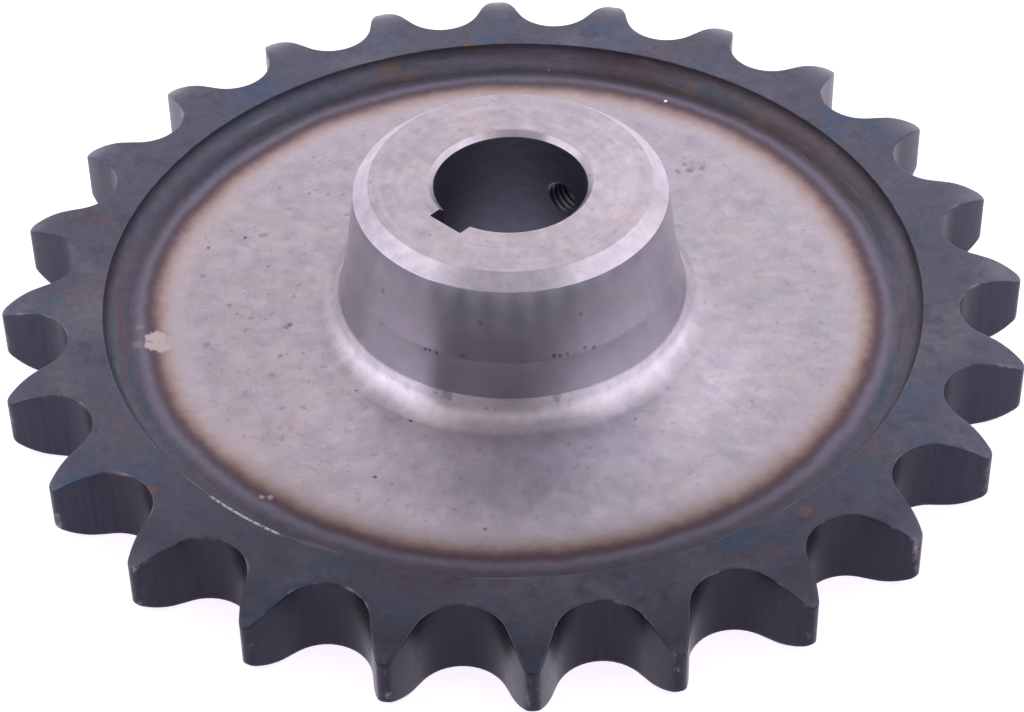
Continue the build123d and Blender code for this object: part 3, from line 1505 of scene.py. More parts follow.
@dataclass(frozen=True)
class HubFinish:
    """Turned bare steel on the hub's wall, chamfer and end, with painted highlights on its foot and chamfer
    and painted light and shade on its wall and end.
    """

    steel: BareSteel = BareSteel()
    web_tone_and_light: WebToneAndPaintedLight = WebToneAndPaintedLight()
    web_height: float = 12.0
    foot_height: Pair = (16.9, 15.9)
    chamfer_height: Pair = (39.8, 40.2)
    end_height: Pair = (42.40, 42.48)
    wall_roughness: Grain = Grain(0.4, 4.0, 0.6, (0.18, 0.22))
    other_roughness: Grain = Grain(0.4, 4.0, 0.6, (0.26, 0.36))  # on the chamfer, the end and the foot
    anisotropy: float = 0.85
    across_the_marks: float = 0.25
    foot_start: Pair = (35.2, 37.2)  # radii that its painted highlight begins to dim between
    foot_highlight_gains: Pair = (0.42, 0.20)  # painted highlight, before and after that
    foot_front: Sector = Sector(FRONT, 50.0, 18.0)
    foot_side_highlight: float = 0.28  # more painted highlight at its start on both sides of the front
    # painted highlight on the chamfer
    chamfer_highlight: float = 0.20
    wall_front: Sector = Sector(FRONT, 25.0, 12.0)  # where the wall has its front painted light and shade
    # painted shade high in front and on the flare at the sides, painted light high on the sides and low in
    # front
    high_height: Pair = (31.0, 37.0)
    high_front_painted_shade: float = -0.20
    high_side_painted_light: float = 0.16
    low_height: Pair = (24.4, 19.0)
    low_front_painted_light: float = 0.15
    flare_height: Pair = (24.6, 23.6)
    flare_side_painted_shade: float = -0.07
    wall_tint: Colour = (1.01, 1.07, 1.12)
    wall_colour: Colour = (0.455, 0.430, 0.455)
    wall_evenness: float = 0.55  # how little the blotches show there
    wall_marks: tuple[Mark, ...] = (
        Mark(32.9, -77.3, 0.50, height=24.1, strength=0.8),
        Mark(32.8, -75.4, 0.48, height=24.3, strength=0.8),
        Mark(32.8, -72.9, 0.45, height=24.2, strength=0.7),
        Mark(32.7, -63.6, 0.50, height=24.9, strength=0.7),
        Mark(32.7, -32.8, 0.52, height=25.0, strength=0.8),
        Mark(32.7, -30.7, 0.55, height=24.9, strength=0.8),
        Mark(32.7, -28.1, 0.48, height=24.9, strength=0.7),
        Mark(32.7, -21.8, 0.48, height=25.1, strength=0.7),
        Mark(32.8, -18.4, 0.50, height=24.5, strength=0.7),
        Mark(31.8, -97.5, 0.70, height=32.0, strength=0.4),
        Mark(31.7, -57.5, 0.60, height=33.0, strength=0.5),
        Mark(31.7, -22.5, 0.60, height=33.0, strength=0.4),
        Mark(34.8, -68.0, 1.40, height=15.9, strength=0.45),
        Mark(34.7, -32.6, 1.20, height=16.1, strength=0.35),
    )
    line_height: float = 24.4  # of the faint line where the two tapers meet
    line_width: Pair = (0.35, 0.05)  # distances from it that it fades in between
    line_gaps: Grain = Grain(0.3, 3.0, 0.5, (0.40, 0.62))
    line_strength: float = 0.20
    end_left: Sector = Sector(LEFT, 40.0, 30.0)
    end_shades: Pair = (1.07, 0.91)  # painted light elsewhere, and painted shade on the left
    end_tint: Colour = (1.02, 1.00, 0.975)
    swirl_rings: Pair = (1.3, 0.7)  # distance from swirl to swirl, and how fast one changes
    swirls: Grain = Grain(1.0, 3.0, 0.6, (0.86, 1.14))
    run_out_front: Sector = Sector(FRONT, 16.0, 8.0)
    side_run_out: Pair = (36.4, 38.8)  # radii that the foot runs out into the web between
    front_run_out: Pair = (35.9, 38.0)

    def painted_foot_highlight(self, desk: HubDesk) -> Value:
        """How much painted highlight the foot gets.

        Args:
            desk: The finish that the nodes belong to.

        Returns:
            The gain, which is 0 off the foot.
        """
        start, rest = self.foot_highlight_gains
        start = desk.span(desk.inside(self.foot_front), start + self.foot_side_highlight, start)
        return desk.product(desk.foot, desk.span(desk.fade(desk.radius, *self.foot_start), start, rest))

    def painted_wall_light_and_shade(self, desk: HubDesk) -> Value:
        """The painted light and shade on the wall, from side to side and from bottom to top.

        Args:
            desk: The finish that the nodes belong to.

        Returns:
            The gain, which is 0 off the wall.
        """
        flare = desk.product(desk.fade(desk.z, *self.flare_height), self.flare_side_painted_shade)
        low = desk.product(desk.fade(desk.z, *self.low_height), self.low_front_painted_light)
        high = desk.fade(desk.z, *self.high_height)
        sides = desk.math("ADD", flare, desk.product(high, self.high_side_painted_light))
        front = desk.math("ADD", low, desk.product(high, self.high_front_painted_shade))
        return desk.product(desk.span(desk.inside(self.wall_front), sides, front), desk.wall)

    def over_end(self, desk: HubDesk, colour: Value) -> Value:
        """Paints shade on the left of the flat end and light elsewhere on it, and lays faint swirls on it.

        Args:
            desk: The finish that the nodes belong to.
            colour: The colour under them.

        Returns:
            The colour, which only changes on the end.
        """
        # painted shade on the left of the end, and painted light elsewhere
        side = desk.span(desk.inside(self.end_left), *self.end_shades)
        swirls = desk.varied(desk.rings(desk.radius, *self.swirl_rings), self.swirls)
        for shade in (side, swirls):
            colour = desk.shade(colour, desk.span(desk.end, 1.0, shade))
        return desk.blend(desk.end, colour, self.end_tint, "MULTIPLY")

    def run_out(self, desk: HubDesk) -> Value:
        """How far the foot has run out into the web.

        Args:
            desk: The finish that the nodes belong to.

        Returns:
            The share, from 0 to 1.
        """
        front = desk.inside(self.run_out_front)
        ends = [desk.span(front, *pair) for pair in zip(self.side_run_out, self.front_run_out)]
        return desk.product(desk.fade(desk.radius, *ends), desk.foot)

    def make(self) -> bpy.types.Material:
        """Makes the finish.

        Returns:
            The material.
        """
        desk = HubDesk(self.foot_height, self.chamfer_height, self.end_height)
        desk.lay_grain_round(self.anisotropy, self.across_the_marks)
        along = desk.math("ADD", desk.math("SUBTRACT", desk.radius, desk.z), self.web_height)
        rings = desk.rings(along, self.steel.tool_pitch)
        steel = self.steel.colour(desk, rings)
        steel = desk.blend(desk.product(desk.wall, self.wall_evenness), steel, self.wall_colour)
        colour = steel
        # painted highlights on the foot and the chamfer, and painted light and shade on the wall
        chamfer_highlight = desk.product(desk.chamfer, self.chamfer_highlight)
        for gain in (self.painted_foot_highlight(desk), chamfer_highlight, self.painted_wall_light_and_shade(desk)):
            colour = desk.shade(colour, desk.math("ADD", 1.0, gain))
        colour = desk.blend(desk.wall, colour, self.wall_tint, "MULTIPLY")
        colour = self.over_end(desk, colour)
        # the foot runs out into the web's colour, with its painted light and painted shade
        colour = desk.blend(self.run_out(desk), colour, self.web_tone_and_light.over(desk, steel))
        line = desk.fade(desk.apart(desk.z, self.line_height), *self.line_width)
        line = desk.product(line, desk.patchy(desk.position, self.line_gaps), self.line_strength)
        colour = desk.blend(line, colour, self.steel.speck)
        colour = desk.marked(colour, self.wall_marks, self.steel.speck)
        smooth = desk.varied(desk.position, self.wall_roughness)
        rough = desk.span(desk.off_wall, smooth, desk.varied(desk.position, self.other_roughness))
        return desk.finish(colour, rough, self.steel.relief(desk, rings))


@dataclass(frozen=True)
class WebFinish:
    """Bare steel on the web, running through heat tints into the dark recess edge, with painted light and
    shade and two painted glints.
    """

    steel: BareSteel = BareSteel()
    # the web's tone, with its painted light and painted shade
    tone: WebToneAndPaintedLight = WebToneAndPaintedLight()
    bare_radius: float = 62.8
    tinted_radius: float = 70.4
    wander: tuple[Grain, ...] = (  # how the tints stray from true circles, widely and finely
        Grain(0.05, 3.0, 0.55, (-1.5, 1.5)),
        Grain(0.35, 3.0, 0.6, (-0.6, 0.6)),
    )
    tints: Stops = (
        (66.0, (0.475, 0.425, 0.420)),
        (68.5, (0.415, 0.355, 0.335)),
        (70.0, (0.340, 0.265, 0.238)),
        (71.0, (0.245, 0.178, 0.160)),
        (71.7, (0.165, 0.115, 0.110)),
        (72.5, (0.108, 0.078, 0.086)),
        (73.2, (0.108, 0.085, 0.100)),
        (74.4, (0.160, 0.148, 0.180)),
        (75.2, (0.150, 0.140, 0.172)),
        (76.2, (0.116, 0.108, 0.135)),
        (77.5, (0.098, 0.098, 0.120)),
        (81.5, (0.098, 0.098, 0.120)),
    )
    tint_grain: Grain = Grain(0.6, 4.0, 0.6, (0.84, 1.16))
    front: Sector = Sector(FRONT, 35.0, 30.0)
    front_shades: Pair = (1.06, 0.72)  # painted light elsewhere, and painted shade in front
    cove_radius: Pair = (74.6, 77.0)  # radii that the cove's scale fades in between
    coves: tuple[tuple[Sector, Colour], ...] = (  # stretches with a tone of their own
        (Sector(-139.0, 12.0, 9.0), (0.125, 0.106, 0.130)),
        (Sector(92.0, 27.0, 9.0), (0.116, 0.093, 0.094)),
        (Sector(45.0, 13.0, 9.0), (0.140, 0.130, 0.155)),
        (Sector(141.0, 17.0, 9.0), (0.135, 0.125, 0.150)),
    )
    cove_strength: float = 0.8
    lanes: tuple[Lane, ...] = (
        Lane((0.070, 0.105, 0.125), 2.6, 3.0, Grain(1.0, 3.0, 0.6, (0.48, 0.70))),
        Lane((0.110, 0.078, 0.080), 1.9, 4.0, Grain(1.0, 3.0, 0.6, (0.50, 0.70))),
        Lane((0.19, 0.17, 0.20), 1.1, 6.0, Grain(1.0, 3.0, 0.6, (0.56, 0.76))),
    )
    lane_strength: float = 0.7
    lane_shift: float = 40.0  # pitches that each lane's noise is moved by, so that they differ
    mottle: Grain = Grain(0.45, 5.0, 0.7, (0.72, 1.28))
    stain: Colour = (0.16, 0.115, 0.095)
    stains: tuple[Mark, ...] = (
        Mark(80.6, 152.5, 3.0, height=14.5, strength=0.7),
        Mark(77.8, 149.8, 2.4, height=12.6, strength=0.6),
        Mark(78.6, 103.7, 2.6, height=13.0, strength=0.7),
        Mark(78.2, 90.4, 2.2, height=12.8, strength=0.6),
    )
    flake: Colour = (0.50, 0.42, 0.39)
    flakes: tuple[Mark, ...] = (
        Mark(71.5, -128.6, 2.3, softness=0.30),
        Mark(70.7, -126.3, 2.1, softness=0.30),
        Mark(69.5, -128.0, 1.5, strength=0.7, softness=0.6),
        Mark(72.8, -127.0, 1.4, softness=0.35),
        Mark(75.2, -127.5, 1.7, strength=0.25, softness=0.8),
        Mark(74.6, -131.5, 1.3, strength=0.20, softness=0.8),
        Mark(72.9, -87.0, 0.7, strength=0.45),
        Mark(72.0, -85.9, 0.7, strength=0.45),
    )
    # painted highlights: two tiny near-white glints by the recess
    painted_glint: Colour = (0.95, 0.93, 0.95)
    painted_glints: tuple[Mark, ...] = (
        Mark(77.7, 127.2, 0.7, height=12.6),
        Mark(73.4, 106.2, 0.5),
    )
    scuff: Colour = (0.20, 0.18, 0.21)
    scuffed_side: Sector = Sector(LEFT, 45.0, 35.0)
    scuffed_shares: Pair = (0.35, 1.0)  # elsewhere, and on that side
    scuff_streaks: tuple[Triple, ...] = (  # direction, length and width of each kind
        (43.6, 3.2, 0.60),
        (-46.4, 2.6, 0.50),
    )
    scuffs: Grain = Grain(1.0, 2.0, 0.5, (0.63, 0.78))
    scuff_strength: float = 0.50
    prick_tear: Pair = (0.7, 2.4)  # bends for each millimetre, and how far they bend
    pricks: Specks = Specks(0.36, 0.34, 0.40, 0.55)
    pits: tuple[Mark, ...] = (
        Mark(58.8, -157.3, 0.65),
        Mark(64.8, -152.5, 0.6),
        Mark(40.3, -76.0, 0.65),
        Mark(40.2, -95.8, 0.45),
        Mark(57.0, -74.0, 0.5),
        Mark(65.1, -51.5, 0.6),
        Mark(55.6, 90.9, 1.5, strength=0.65, softness=0.9),
        Mark(53.6, 92.6, 1.0, strength=0.65, softness=0.8),
        Mark(57.8, 89.4, 1.0, strength=0.55, softness=0.8),
        Mark(56.4, 93.0, 0.8, strength=0.55, softness=0.8),
        Mark(44.9, -128.0, 0.7, strength=0.8),
        Mark(45.6, -126.9, 0.5, strength=0.8),
    )
    roughness: Grain = Grain(0.4, 4.0, 0.6, (0.24, 0.35))
    dull_radius: Pair = (74.0, 77.0)  # radii that the dark scale grows rougher between
    scale_dullness: float = 0.20

    def scuffed(self, desk: ShaderDesk, colour: Value) -> Value:
        """Scuffs the web with short faint streaks and pinpricks, most of them on its left.

        Args:
            desk: The finish that the nodes belong to.
            colour: The colour under them.

        Returns:
            The scuffed colour.
        """
        marked = desk.span(desk.inside(self.scuffed_side), *self.scuffed_shares)
        for azimuth, length, width in self.scuff_streaks:
            streaks = desk.patchy(desk.streaks(azimuth, length, width), self.scuffs)
            colour = desk.blend(desk.product(streaks, marked, self.scuff_strength), colour, self.scuff)
        pricks = desk.specks(desk.warped(desk.position, *self.prick_tear), self.pricks)
        return desk.blend(desk.product(pricks, marked), colour, self.scuff)

    def scaled(self, desk: ShaderDesk, colour: Value) -> Value:
        """Lays streaks of teal, brown and pale scale round the edge of the recess, and stains on it.

        Args:
            desk: The finish that the nodes belong to.
            colour: The colour under them.

        Returns:
            The colour with the streaks.
        """
        outside = desk.fade(desk.radius, *self.cove_radius)
        for sector, tone in self.coves:
            share = desk.product(desk.inside(sector), outside, self.cove_strength)
            colour = desk.blend(share, colour, tone)
        for lane in self.lanes:
            moved = desk.math("ADD", desk.radius, lane.pitch * self.lane_shift)
            streaks = desk.patchy(desk.rings(moved, lane.pitch, lane.sweep), lane.grain)
            share = desk.product(streaks, outside, self.lane_strength)
            colour = desk.blend(share, colour, lane.colour)
        mottle = desk.varied(desk.position, self.mottle)
        colour = desk.shade(colour, desk.span(outside, 1.0, mottle))
        return desk.marked(colour, self.stains, self.stain)

    def tinted(self, desk: ShaderDesk, radius: Value) -> Value:
        """Colours the heat tints and the dark scale outside them, with painted shade in front.

        Args:
            desk: The finish that the nodes belong to.
            radius: The radius, straying from true circles.

        Returns:
            The colour.
        """
        colour = desk.shade(desk.ramp(radius, self.tints), desk.varied(desk.position, self.tint_grain))
        colour = self.scaled(desk, colour)
        return desk.shade(colour, desk.span(desk.inside(self.front), *self.front_shades))

    def make(self) -> bpy.types.Material:
        """Makes the finish.

        Returns:
            The material.
        """
        desk = ShaderDesk("web_heat_tinted_steel")
        rings = desk.rings(desk.radius, self.steel.tool_pitch)
        bare = self.tone.over(desk, self.steel.colour(desk, rings))
        bare = desk.marked(self.scuffed(desk, bare), self.pits, self.steel.speck)
        radius = desk.radius
        for grain in self.wander:
            radius = desk.math("ADD", radius, desk.varied(desk.position, grain))
        tinted = desk.fade(radius, self.bare_radius, self.tinted_radius)
        colour = desk.blend(tinted, bare, self.tinted(desk, radius))
        colour = desk.marked(colour, self.flakes, self.flake)
        colour = desk.marked(colour, self.painted_glints, self.painted_glint)
        rough = desk.varied(desk.position, self.roughness)
        dull = desk.product(desk.fade(desk.radius, *self.dull_radius), self.scale_dullness)
        return desk.finish(colour, desk.math("ADD", rough, dull), self.steel.relief(desk, rings))


@dataclass(frozen=True)
class RimFinish:
    """Dark scale on the rim and the teeth, rubbed at the edges, with painted shade on the walls and in
    front, painted light elsewhere, and painted highlights along the recess edge.
    """

    scale: Colour = (0.093, 0.095, 0.118)
    tones: tuple[Tone, ...] = (
        Tone((0.132, 0.130, 0.150), 0.045, (0.48, 0.72)),
        Tone((0.064, 0.094, 0.138), 0.060, (0.50, 0.68), 0.85),
        Tone((0.108, 0.086, 0.094), 0.080, (0.52, 0.72), 0.65),
        Tone((0.066, 0.066, 0.084), 0.210, (0.52, 0.70), 0.60),
    )
    mottle: Grain = Grain(0.7, 5.0, 0.70, (0.70, 1.30))
    shaded_top: Sector = Sector(FRONT, 35.0, 30.0)
    top_shades: Pair = (1.11, 0.68)  # painted light elsewhere, and painted shade in that sector
    # the upright walls get a darker colour than the rim's side: painted shade, for the dark floor that they
    # reflect
    wall: Colour = (0.035, 0.034, 0.048)
    wall_steepness: Pair = (0.75, 0.25)  # how far normals rise where the walls' painted shade fades in
    wall_streaks: Grain = Grain(1.0, 3.0, 0.5, (0.78, 1.22))
    streak_waves: Triple = (1.1, 1.1, 0.09)  # for each millimetre along X, Y and Z
    # painted light on the walls elsewhere, and painted shade on them in front
    shaded_wall: Sector = Sector(FRONT, 50.0, 30.0)
    wall_shades: Pair = (1.25, 0.78)
    worn: Colour = (0.26, 0.235, 0.24)
    worn_patches: Grain = Grain(0.16, 5.0, 0.7, (0.50, 0.72))
    # two arcs of the recess edge, worn and painted bright as highlights
    rubbed_and_highlighted_arcs: tuple[Mark, ...] = (
        Mark(81.4, -84.0, 6.5, height=16.2, softness=0.2),
        Mark(81.4, -48.0, 4.0, height=16.2, softness=0.3),
    )
    rust: Colour = (0.20, 0.10, 0.055)
    rust_spots: tuple[Mark, ...] = (
        Mark(81.2, 139.8, 1.3, height=16.2),
        Mark(88.7, -96.2, 2.0, height=15.5, strength=0.35),
        Mark(84.5, -7.6, 2.0, height=16.2, strength=0.4),
    )
    # a pale line on the recess edge: partly a scratch, partly a painted highlight
    scratch_and_highlight: Colour = (0.42, 0.38, 0.38)
    scratch_radius: float = 81.72
    scratch_width: Pair = (0.48, 0.20)  # distances from there that it fades in between
    scratch_height: Pair = (15.9, 16.1)
    scratch_sector: Sector = Sector(-84.0, 5.8, 0.8)
    scratch_gaps: Grain = Grain(0.8, 3.0, 0.5, (0.36, 0.50))
    roughness: Grain = Grain(0.5, 4.0, 0.6, (0.28, 0.44))
    relief: Relief = Relief(1.2, 5.0, 0.65, 0.03)

    def top(self, desk: ShaderDesk) -> Value:
        """Colours the side of the rim and of the teeth, with painted shade in front and painted light
        elsewhere.

        Args:
            desk: The finish that the nodes belong to.

        Returns:
            The colour.
        """
        colour = desk.patches(self.scale, self.tones)
        colour = desk.shade(colour, desk.varied(desk.position, self.mottle))
        return desk.shade(colour, desk.span(desk.inside(self.shaded_top), *self.top_shades))

    def painted_shade_walls(self, desk: ShaderDesk) -> Value:
        """Colours the walls of the teeth and their gaps with painted shade, darker still in front, with
        streaks across the rim.

        Args:
            desk: The finish that the nodes belong to.

        Returns:
            The colour.
        """
        stretched = desk.combine("MULTIPLY", desk.position, self.streak_waves)
        colour = desk.shade(self.wall, desk.varied(stretched, self.wall_streaks))
        return desk.shade(colour, desk.span(desk.inside(self.shaded_wall), *self.wall_shades))

    def worn_over(self, desk: ShaderDesk, colour: Value) -> Value:
        """Rubs the edges bare in patches, and fully on two arcs of the recess edge, which are also painted
        highlights.

        Args:
            desk: The finish that the nodes belong to.
            colour: The colour under the wear.

        Returns:
            The worn colour.
        """
        patches = desk.patchy(desk.position, self.worn_patches)
        for arc in self.rubbed_and_highlighted_arcs:
            patches = desk.math("MAXIMUM", patches, desk.spot(arc))
        return desk.blend(desk.product(desk.attribute(EDGE_WEAR), patches), colour, self.worn)

    def scratched_and_highlighted(self, desk: ShaderDesk, colour: Value) -> Value:
        """Lays one pale line along the edge of the recess, a scratch that is also a painted highlight.

        Args:
            desk: The finish that the nodes belong to.
            colour: The colour under it.

        Returns:
            The scratched colour.
        """
        width = desk.fade(desk.apart(desk.radius, self.scratch_radius), *self.scratch_width)
        height = desk.fade(desk.z, *self.scratch_height)
        gaps = desk.patchy(desk.position, self.scratch_gaps)
        share = desk.product(width, desk.inside(self.scratch_sector), height, gaps)
        return desk.blend(share, colour, self.scratch_and_highlight)

    def make(self) -> bpy.types.Material:
        """Makes the finish.

        Returns:
            The material.
        """
        desk = ShaderDesk("rim_dark_scale")
        geometry = desk.tree.nodes.new("ShaderNodeNewGeometry")
        rise = desk.math("ABSOLUTE", desk.parts(geometry.outputs["Normal"])[2])
        on_shaded_wall = desk.fade(rise, *self.wall_steepness)
        colour = desk.blend(on_shaded_wall, self.top(desk), self.painted_shade_walls(desk))
        colour = self.worn_over(desk, colour)
        colour = desk.marked(colour, self.rust_spots, self.rust)
        colour = self.scratched_and_highlighted(desk, colour)
        rough = desk.varied(desk.position, self.roughness)
        return desk.finish(colour, rough, desk.bump(desk.position, self.relief))


@dataclass(frozen=True)
class BoreFinish:
    """Dull oiled steel inside the bore, the keyway and the set screw hole, with painted shade in the keyway
    and painted highlights on the thread's worn crests.
    """

    steel: Colour = (0.165, 0.160, 0.205)
    tool_rings: Pair = (1.2, 4.0)  # distance from mark to mark, and how fast one changes
    tool_marks: Grain = Grain(1.0, 4.0, 0.6, (0.75, 1.25))
    # painted shade in the keyway
    keyway_shade: float = 0.50
    keyway_radius: Pair = (15.05, 15.25)
    keyway_side: Pair = (-0.90, -0.95)  # sines of the azimuth
    # the thread's crests, worn bare and painted lighter as highlights
    crest_wear_and_highlight: Colour = (0.36, 0.34, 0.38)
    crest_reach: Pair = (3.9, 3.6)  # distances from the hole's axis that the crests fade in between
    crest_radius: Pair = (15.3, 15.9)
    hole_height: float = SetScrewHole.height
    roughness: Grain = Grain(0.6, 3.0, 0.5, (0.40, 0.55))
    relief: Relief = Relief(1.5, 4.0, 0.5, 0.012)

    def make(self) -> bpy.types.Material:
        """Makes the finish.

        Returns:
            The material.
        """
        desk = ShaderDesk("bore_dull_steel")
        rings = desk.rings(desk.z, *self.tool_rings)
        colour = desk.shade(self.steel, desk.varied(rings, self.tool_marks))
        past_bore = desk.fade(desk.radius, *self.keyway_radius)
        keyway = desk.product(past_bore, desk.fade(desk.sine, *self.keyway_side))
        # painted shade in the keyway
        colour = desk.shade(colour, desk.span(keyway, 1.0, self.keyway_shade))
        below = desk.math("SUBTRACT", desk.z, self.hole_height)
        from_axis = desk.combine("LENGTH", desk.vector(desk.x, 0.0, below))
        in_hole = desk.fade(from_axis, *self.crest_reach)
        in_hole = desk.product(in_hole, desk.fade(desk.radius, *self.crest_radius))
        colour = desk.blend(desk.product(desk.attribute(EDGE_WEAR), in_hole), colour, self.crest_wear_and_highlight)
        rough = desk.varied(desk.position, self.roughness)
        return desk.finish(colour, rough, desk.bump(desk.position, self.relief))


class Zone(Enum):
    """The regions of the sprocket, each with its finish."""

    HUB = HubFinish()
    WEB = WebFinish()
    RIM = RimFinish()
    BORE = BoreFinish()

    @property
    def finish(self) -> HubFinish | WebFinish | RimFinish | BoreFinish:
        """The region's finish."""
        return self.value


def heading(azimuth: float, elevation: float) -> Triple:
    """The direction from the object to a viewer.

    Args:
        azimuth: 0 for a viewer on -Y, 90 for one on +X.
        elevation: Angle above the floor.

    Returns:
        A vector of length 1.
    """
    turn, rise = radians(azimuth), radians(elevation)
    return (sin(turn) * cos(rise), -cos(turn) * cos(rise), sin(rise))


@dataclass(frozen=True)
class Lamp:
    """A soft round light in the tent, or a dim patch of it."""

    azimuth: float  # from the viewer's, growing to the right
    elevation: float
    strength: float
    edge: Pair  # angles from its middle that it begins between


class TentDesk(Nodes):
    """The nodes of the light around the scene, read by direction as one viewer sees it."""

    LOWEST_RISE: float = 0.05  # keeps places on the ceiling from running off near the horizon

    def __init__(self, name: str, azimuth: float) -> None:
        """Makes a world, and the directions in it.

        Args:
            name: The world's name.
            azimuth: The viewer's azimuth.
        """
        world = bpy.data.worlds.new(name)
        bpy.context.scene.world = world
        world.use_nodes = True
        super().__init__(world.node_tree)
        self.azimuth = azimuth
        self.background = self.tree.nodes["Background"]
        self.direction = self.tree.nodes.new("ShaderNodeTexCoord").outputs["Generated"]
        self.rise = self.parts(self.direction)[2]
        self.ahead = self.combine("DOT_PRODUCT", self.direction, heading(azimuth, 0.0))
        self.aside = self.combine("DOT_PRODUCT", self.direction, heading(azimuth + 90.0, 0.0))
        self.turn = self.math("ARCTAN2", self.aside, self.ahead)

    def near(self, lamp: Lamp) -> Socket:
        """Picks out a lamp.

        Args:
            lamp: The lamp.

        Returns:
            1 in its middle and 0 outside it.
        """
        middle = heading(self.azimuth + lamp.azimuth, lamp.elevation)
        closeness = self.combine("DOT_PRODUCT", self.direction, middle)
        return self.fade(closeness, *(cos(radians(angle)) for angle in lamp.edge))

    def by_elevation(self, angles: Pair) -> Socket:
        """Eases from 0 at the first elevation to 1 at the second."""
        return self.fade(self.rise, *(sin(radians(angle)) for angle in angles))

    def by_azimuth(self, angles: Pair, middle: float | None = None) -> Socket:
        """Eases from 0 at the first angle to 1 at the second.

        Args:
            angles: Azimuths from the viewer's, or angles to either side of the middle.
            middle: An azimuth from the viewer's, where the light is alike on both sides of one.

        Returns:
            The eased value.
        """
        turn = self.turn if middle is None else self.apart(self.turn, radians(middle))
        return self.fade(turn, *(radians(angle) for angle in angles))

    def on_ceiling(self, place: Socket) -> Socket:
        """Where a direction meets a ceiling at height 1, from its part along the floor."""
        return self.math("DIVIDE", place, self.math("MAXIMUM", self.rise, self.LOWEST_RISE))


@dataclass(frozen=True)
class LightTent:
    """A pale tent with soft lamps and a dim gap in its ceiling, open towards the viewer.

    All azimuths count from the viewer's and grow to the right.
    """

    colour: Colour = (1.0, 0.935, 1.06)
    strength: float = 1.0
    lamps: tuple[Lamp, ...] = (
        Lamp(-74.0, 20.0, 0.50, (44.0, 16.0)),
        Lamp(78.0, 20.0, 0.45, (54.0, 22.0)),
        Lamp(165.0, 28.0, 0.28, (38.0, 8.0)),
        Lamp(-10.0, 58.0, -0.24, (38.0, 12.0)),
    )
    gap_sides: Pair = (0.65, 0.40)  # distances on a ceiling at height 1
    gap_front: Pair = (0.95, 0.35)
    gap_back: Pair = (-1.30, -0.85)
    gap_light: float = 0.82
    hole: Lamp = Lamp(0.0, 84.0, 0.50, (22.0, 8.0))  # a darker round hole in the gap
    opening_left: Pair = (-55.0, -48.0)
    opening_right: Pair = (68.0, -2.0)
    opening_top: Pair = (56.0, 28.0)
    opening_light: float = 0.14
    horizon: Pair = (24.0, 12.0)  # elevations that the opening brightens between
    horizon_light: float = 0.55
    shadow: Pair = (22.0, 6.0)  # angles from the middle that the horizon dims again between
    shadow_light: float = 0.60
    post: float = -43.0  # a dark upright at the edge of the opening
    post_width: Pair = (6.0, 2.4)  # angles from there that it begins between
    post_light: float = 0.70

    def ceiling(self, desk: TentDesk) -> Socket:
        """Lights the tent, with its lamps and the gap.

        Args:
            desk: The nodes that it is made of.

        Returns:
            The light's strength.
        """
        light = self.strength
        for lamp in self.lamps:
            light = desk.math("ADD", light, desk.product(desk.near(lamp), lamp.strength))
        along, across = desk.on_ceiling(desk.ahead), desk.on_ceiling(desk.aside)
        gap = desk.fade(desk.math("ABSOLUTE", across), *self.gap_sides)
        gap = desk.product(gap, desk.fade(along, *self.gap_front), desk.fade(along, *self.gap_back))
        light = desk.span(gap, light, self.gap_light)
        return desk.span(desk.near(self.hole), light, self.hole.strength)

    def outside(self, desk: TentDesk) -> Socket:
        """Lights what shows through the opening, brightest at the horizon beside a shadow.

        Args:
            desk: The nodes that it is made of.

        Returns:
            The light's strength.
        """
        shadow = desk.span(desk.by_azimuth(self.shadow, 0.0), 1.0, self.shadow_light)
        low = desk.product(shadow, self.horizon_light)
        return desk.span(desk.by_elevation(self.horizon), self.opening_light, low)

    def build(self, azimuth: float) -> None:
        """Puts up the tent.

        Args:
            azimuth: The viewer's azimuth.
        """
        desk = TentDesk("light_tent", azimuth)
        below_top = desk.by_elevation(self.opening_top)
        sides = [desk.by_azimuth(edge) for edge in (self.opening_left, self.opening_right)]
        light = desk.span(desk.product(below_top, *sides), self.ceiling(desk), self.outside(desk))
        post = desk.product(desk.by_azimuth(self.post_width, self.post), below_top)
        light = desk.product(light, desk.span(post, 1.0, self.post_light))
        desk.plug(self.colour, desk.background.inputs["Color"])
        desk.plug(light, desk.background.inputs["Strength"])


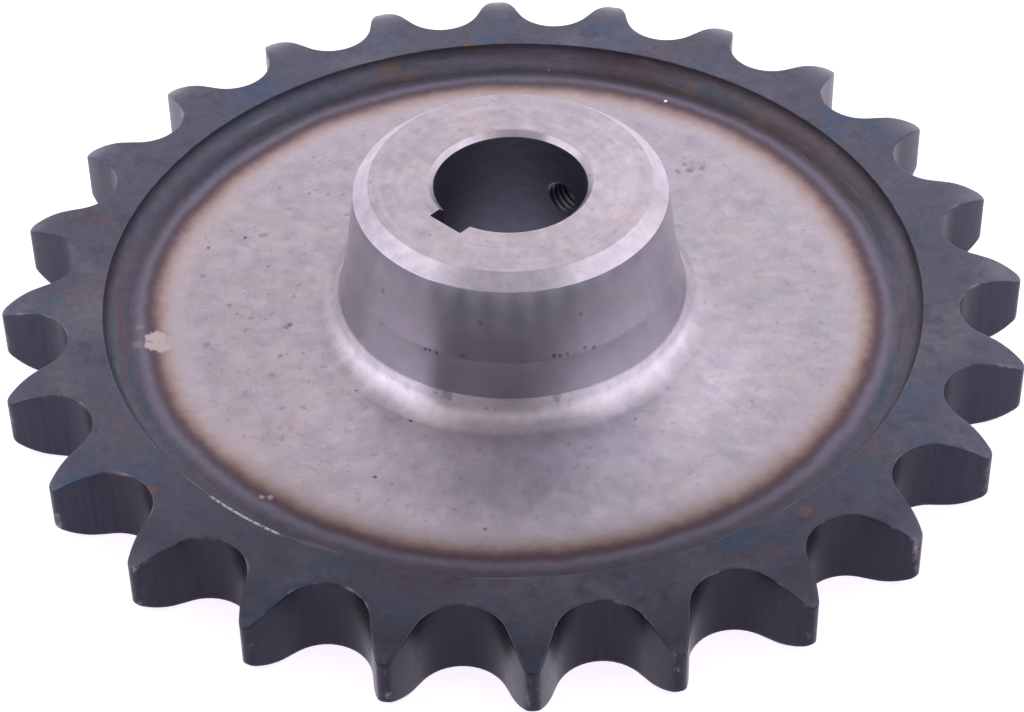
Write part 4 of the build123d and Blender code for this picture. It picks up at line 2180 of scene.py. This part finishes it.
@dataclass(frozen=True)
class Floor:
    """The pale floor that the sprocket rests on."""

    size: float = 6000.0
    colour: Colour = (0.62, 0.62, 0.62)
    glow: float = 0.82
    roughness: float = 0.9
    specular: float = 0.1

    def build(self, glow_colour: Colour) -> None:
        """Lays the floor.

        Args:
            glow_colour: The colour that it glows in.
        """
        mesh = bmesh.new()
        bmesh.ops.create_grid(mesh, x_segments=1, y_segments=1, size=self.size / 2)
        floor = object_from(mesh, "floor")
        material = bpy.data.materials.new("floor_paper")
        material.use_nodes = True
        inputs = material.node_tree.nodes["Principled BSDF"].inputs
        inputs["Base Color"].default_value = (*self.colour, 1.0)
        inputs["Emission Color"].default_value = (*glow_colour, 1.0)
        inputs["Emission Strength"].default_value = self.glow
        inputs["Roughness"].default_value = self.roughness
        inputs["Specular IOR Level"].default_value = self.specular
        floor.data.materials.append(material)


@dataclass(frozen=True)
class Camera:
    """The camera, which looks down at the sprocket from its front right."""

    azimuth: float = 43.647
    elevation: float = 41.492
    roll: float = -1.051
    distance: float = 606.69
    aim: Triple = (3.660, -2.488, 3.208)
    sensor_width: float = 36.0
    focal_length: float = 105.93
    shift: Pair = (-0.00619, -0.00921)
    sight: float = 100.0  # how far it sees, in metres

    def build(self) -> None:
        """Places the camera and makes it the scene's own."""
        data = bpy.data.cameras.new("camera")
        data.sensor_width = self.sensor_width
        data.lens = self.focal_length
        data.shift_x, data.shift_y = self.shift
        data.clip_end = self.sight
        camera = bpy.data.objects.new("camera", data)
        bpy.context.scene.collection.objects.link(camera)
        back = Vector(heading(self.azimuth, self.elevation))
        place = (Vector(self.aim) + back * self.distance) * MM
        turn = back.to_track_quat("Z", "Y").to_matrix() @ turn_by(self.roll)
        camera.matrix_world = Matrix.Translation(place) @ turn.to_4x4()
        bpy.context.scene.camera = camera


@dataclass(frozen=True)
class Studio:
    """The floor, the light and the camera."""

    floor: Floor = Floor()
    tent: LightTent = LightTent()
    camera: Camera = Camera()

    def build(self) -> None:
        """Sets up the whole studio."""
        self.floor.build(self.tent.colour)
        self.tent.build(self.camera.azimuth)
        self.camera.build()
        bpy.context.scene.view_settings.view_transform = "Standard"


def main() -> None:
    """Builds the sprocket and its studio."""
    logging.basicConfig(level=logging.INFO, format="%(message)s")
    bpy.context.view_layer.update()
    sprocket = Sprocket().build()
    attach(sprocket, "root")
    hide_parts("sprocket")
    LOG.info("%s: %d faces", sprocket.name, len(sprocket.data.polygons))
    Studio().build()
    LOG.info("studio: floor, light tent and camera")


if __name__ == "__main__":
    main()
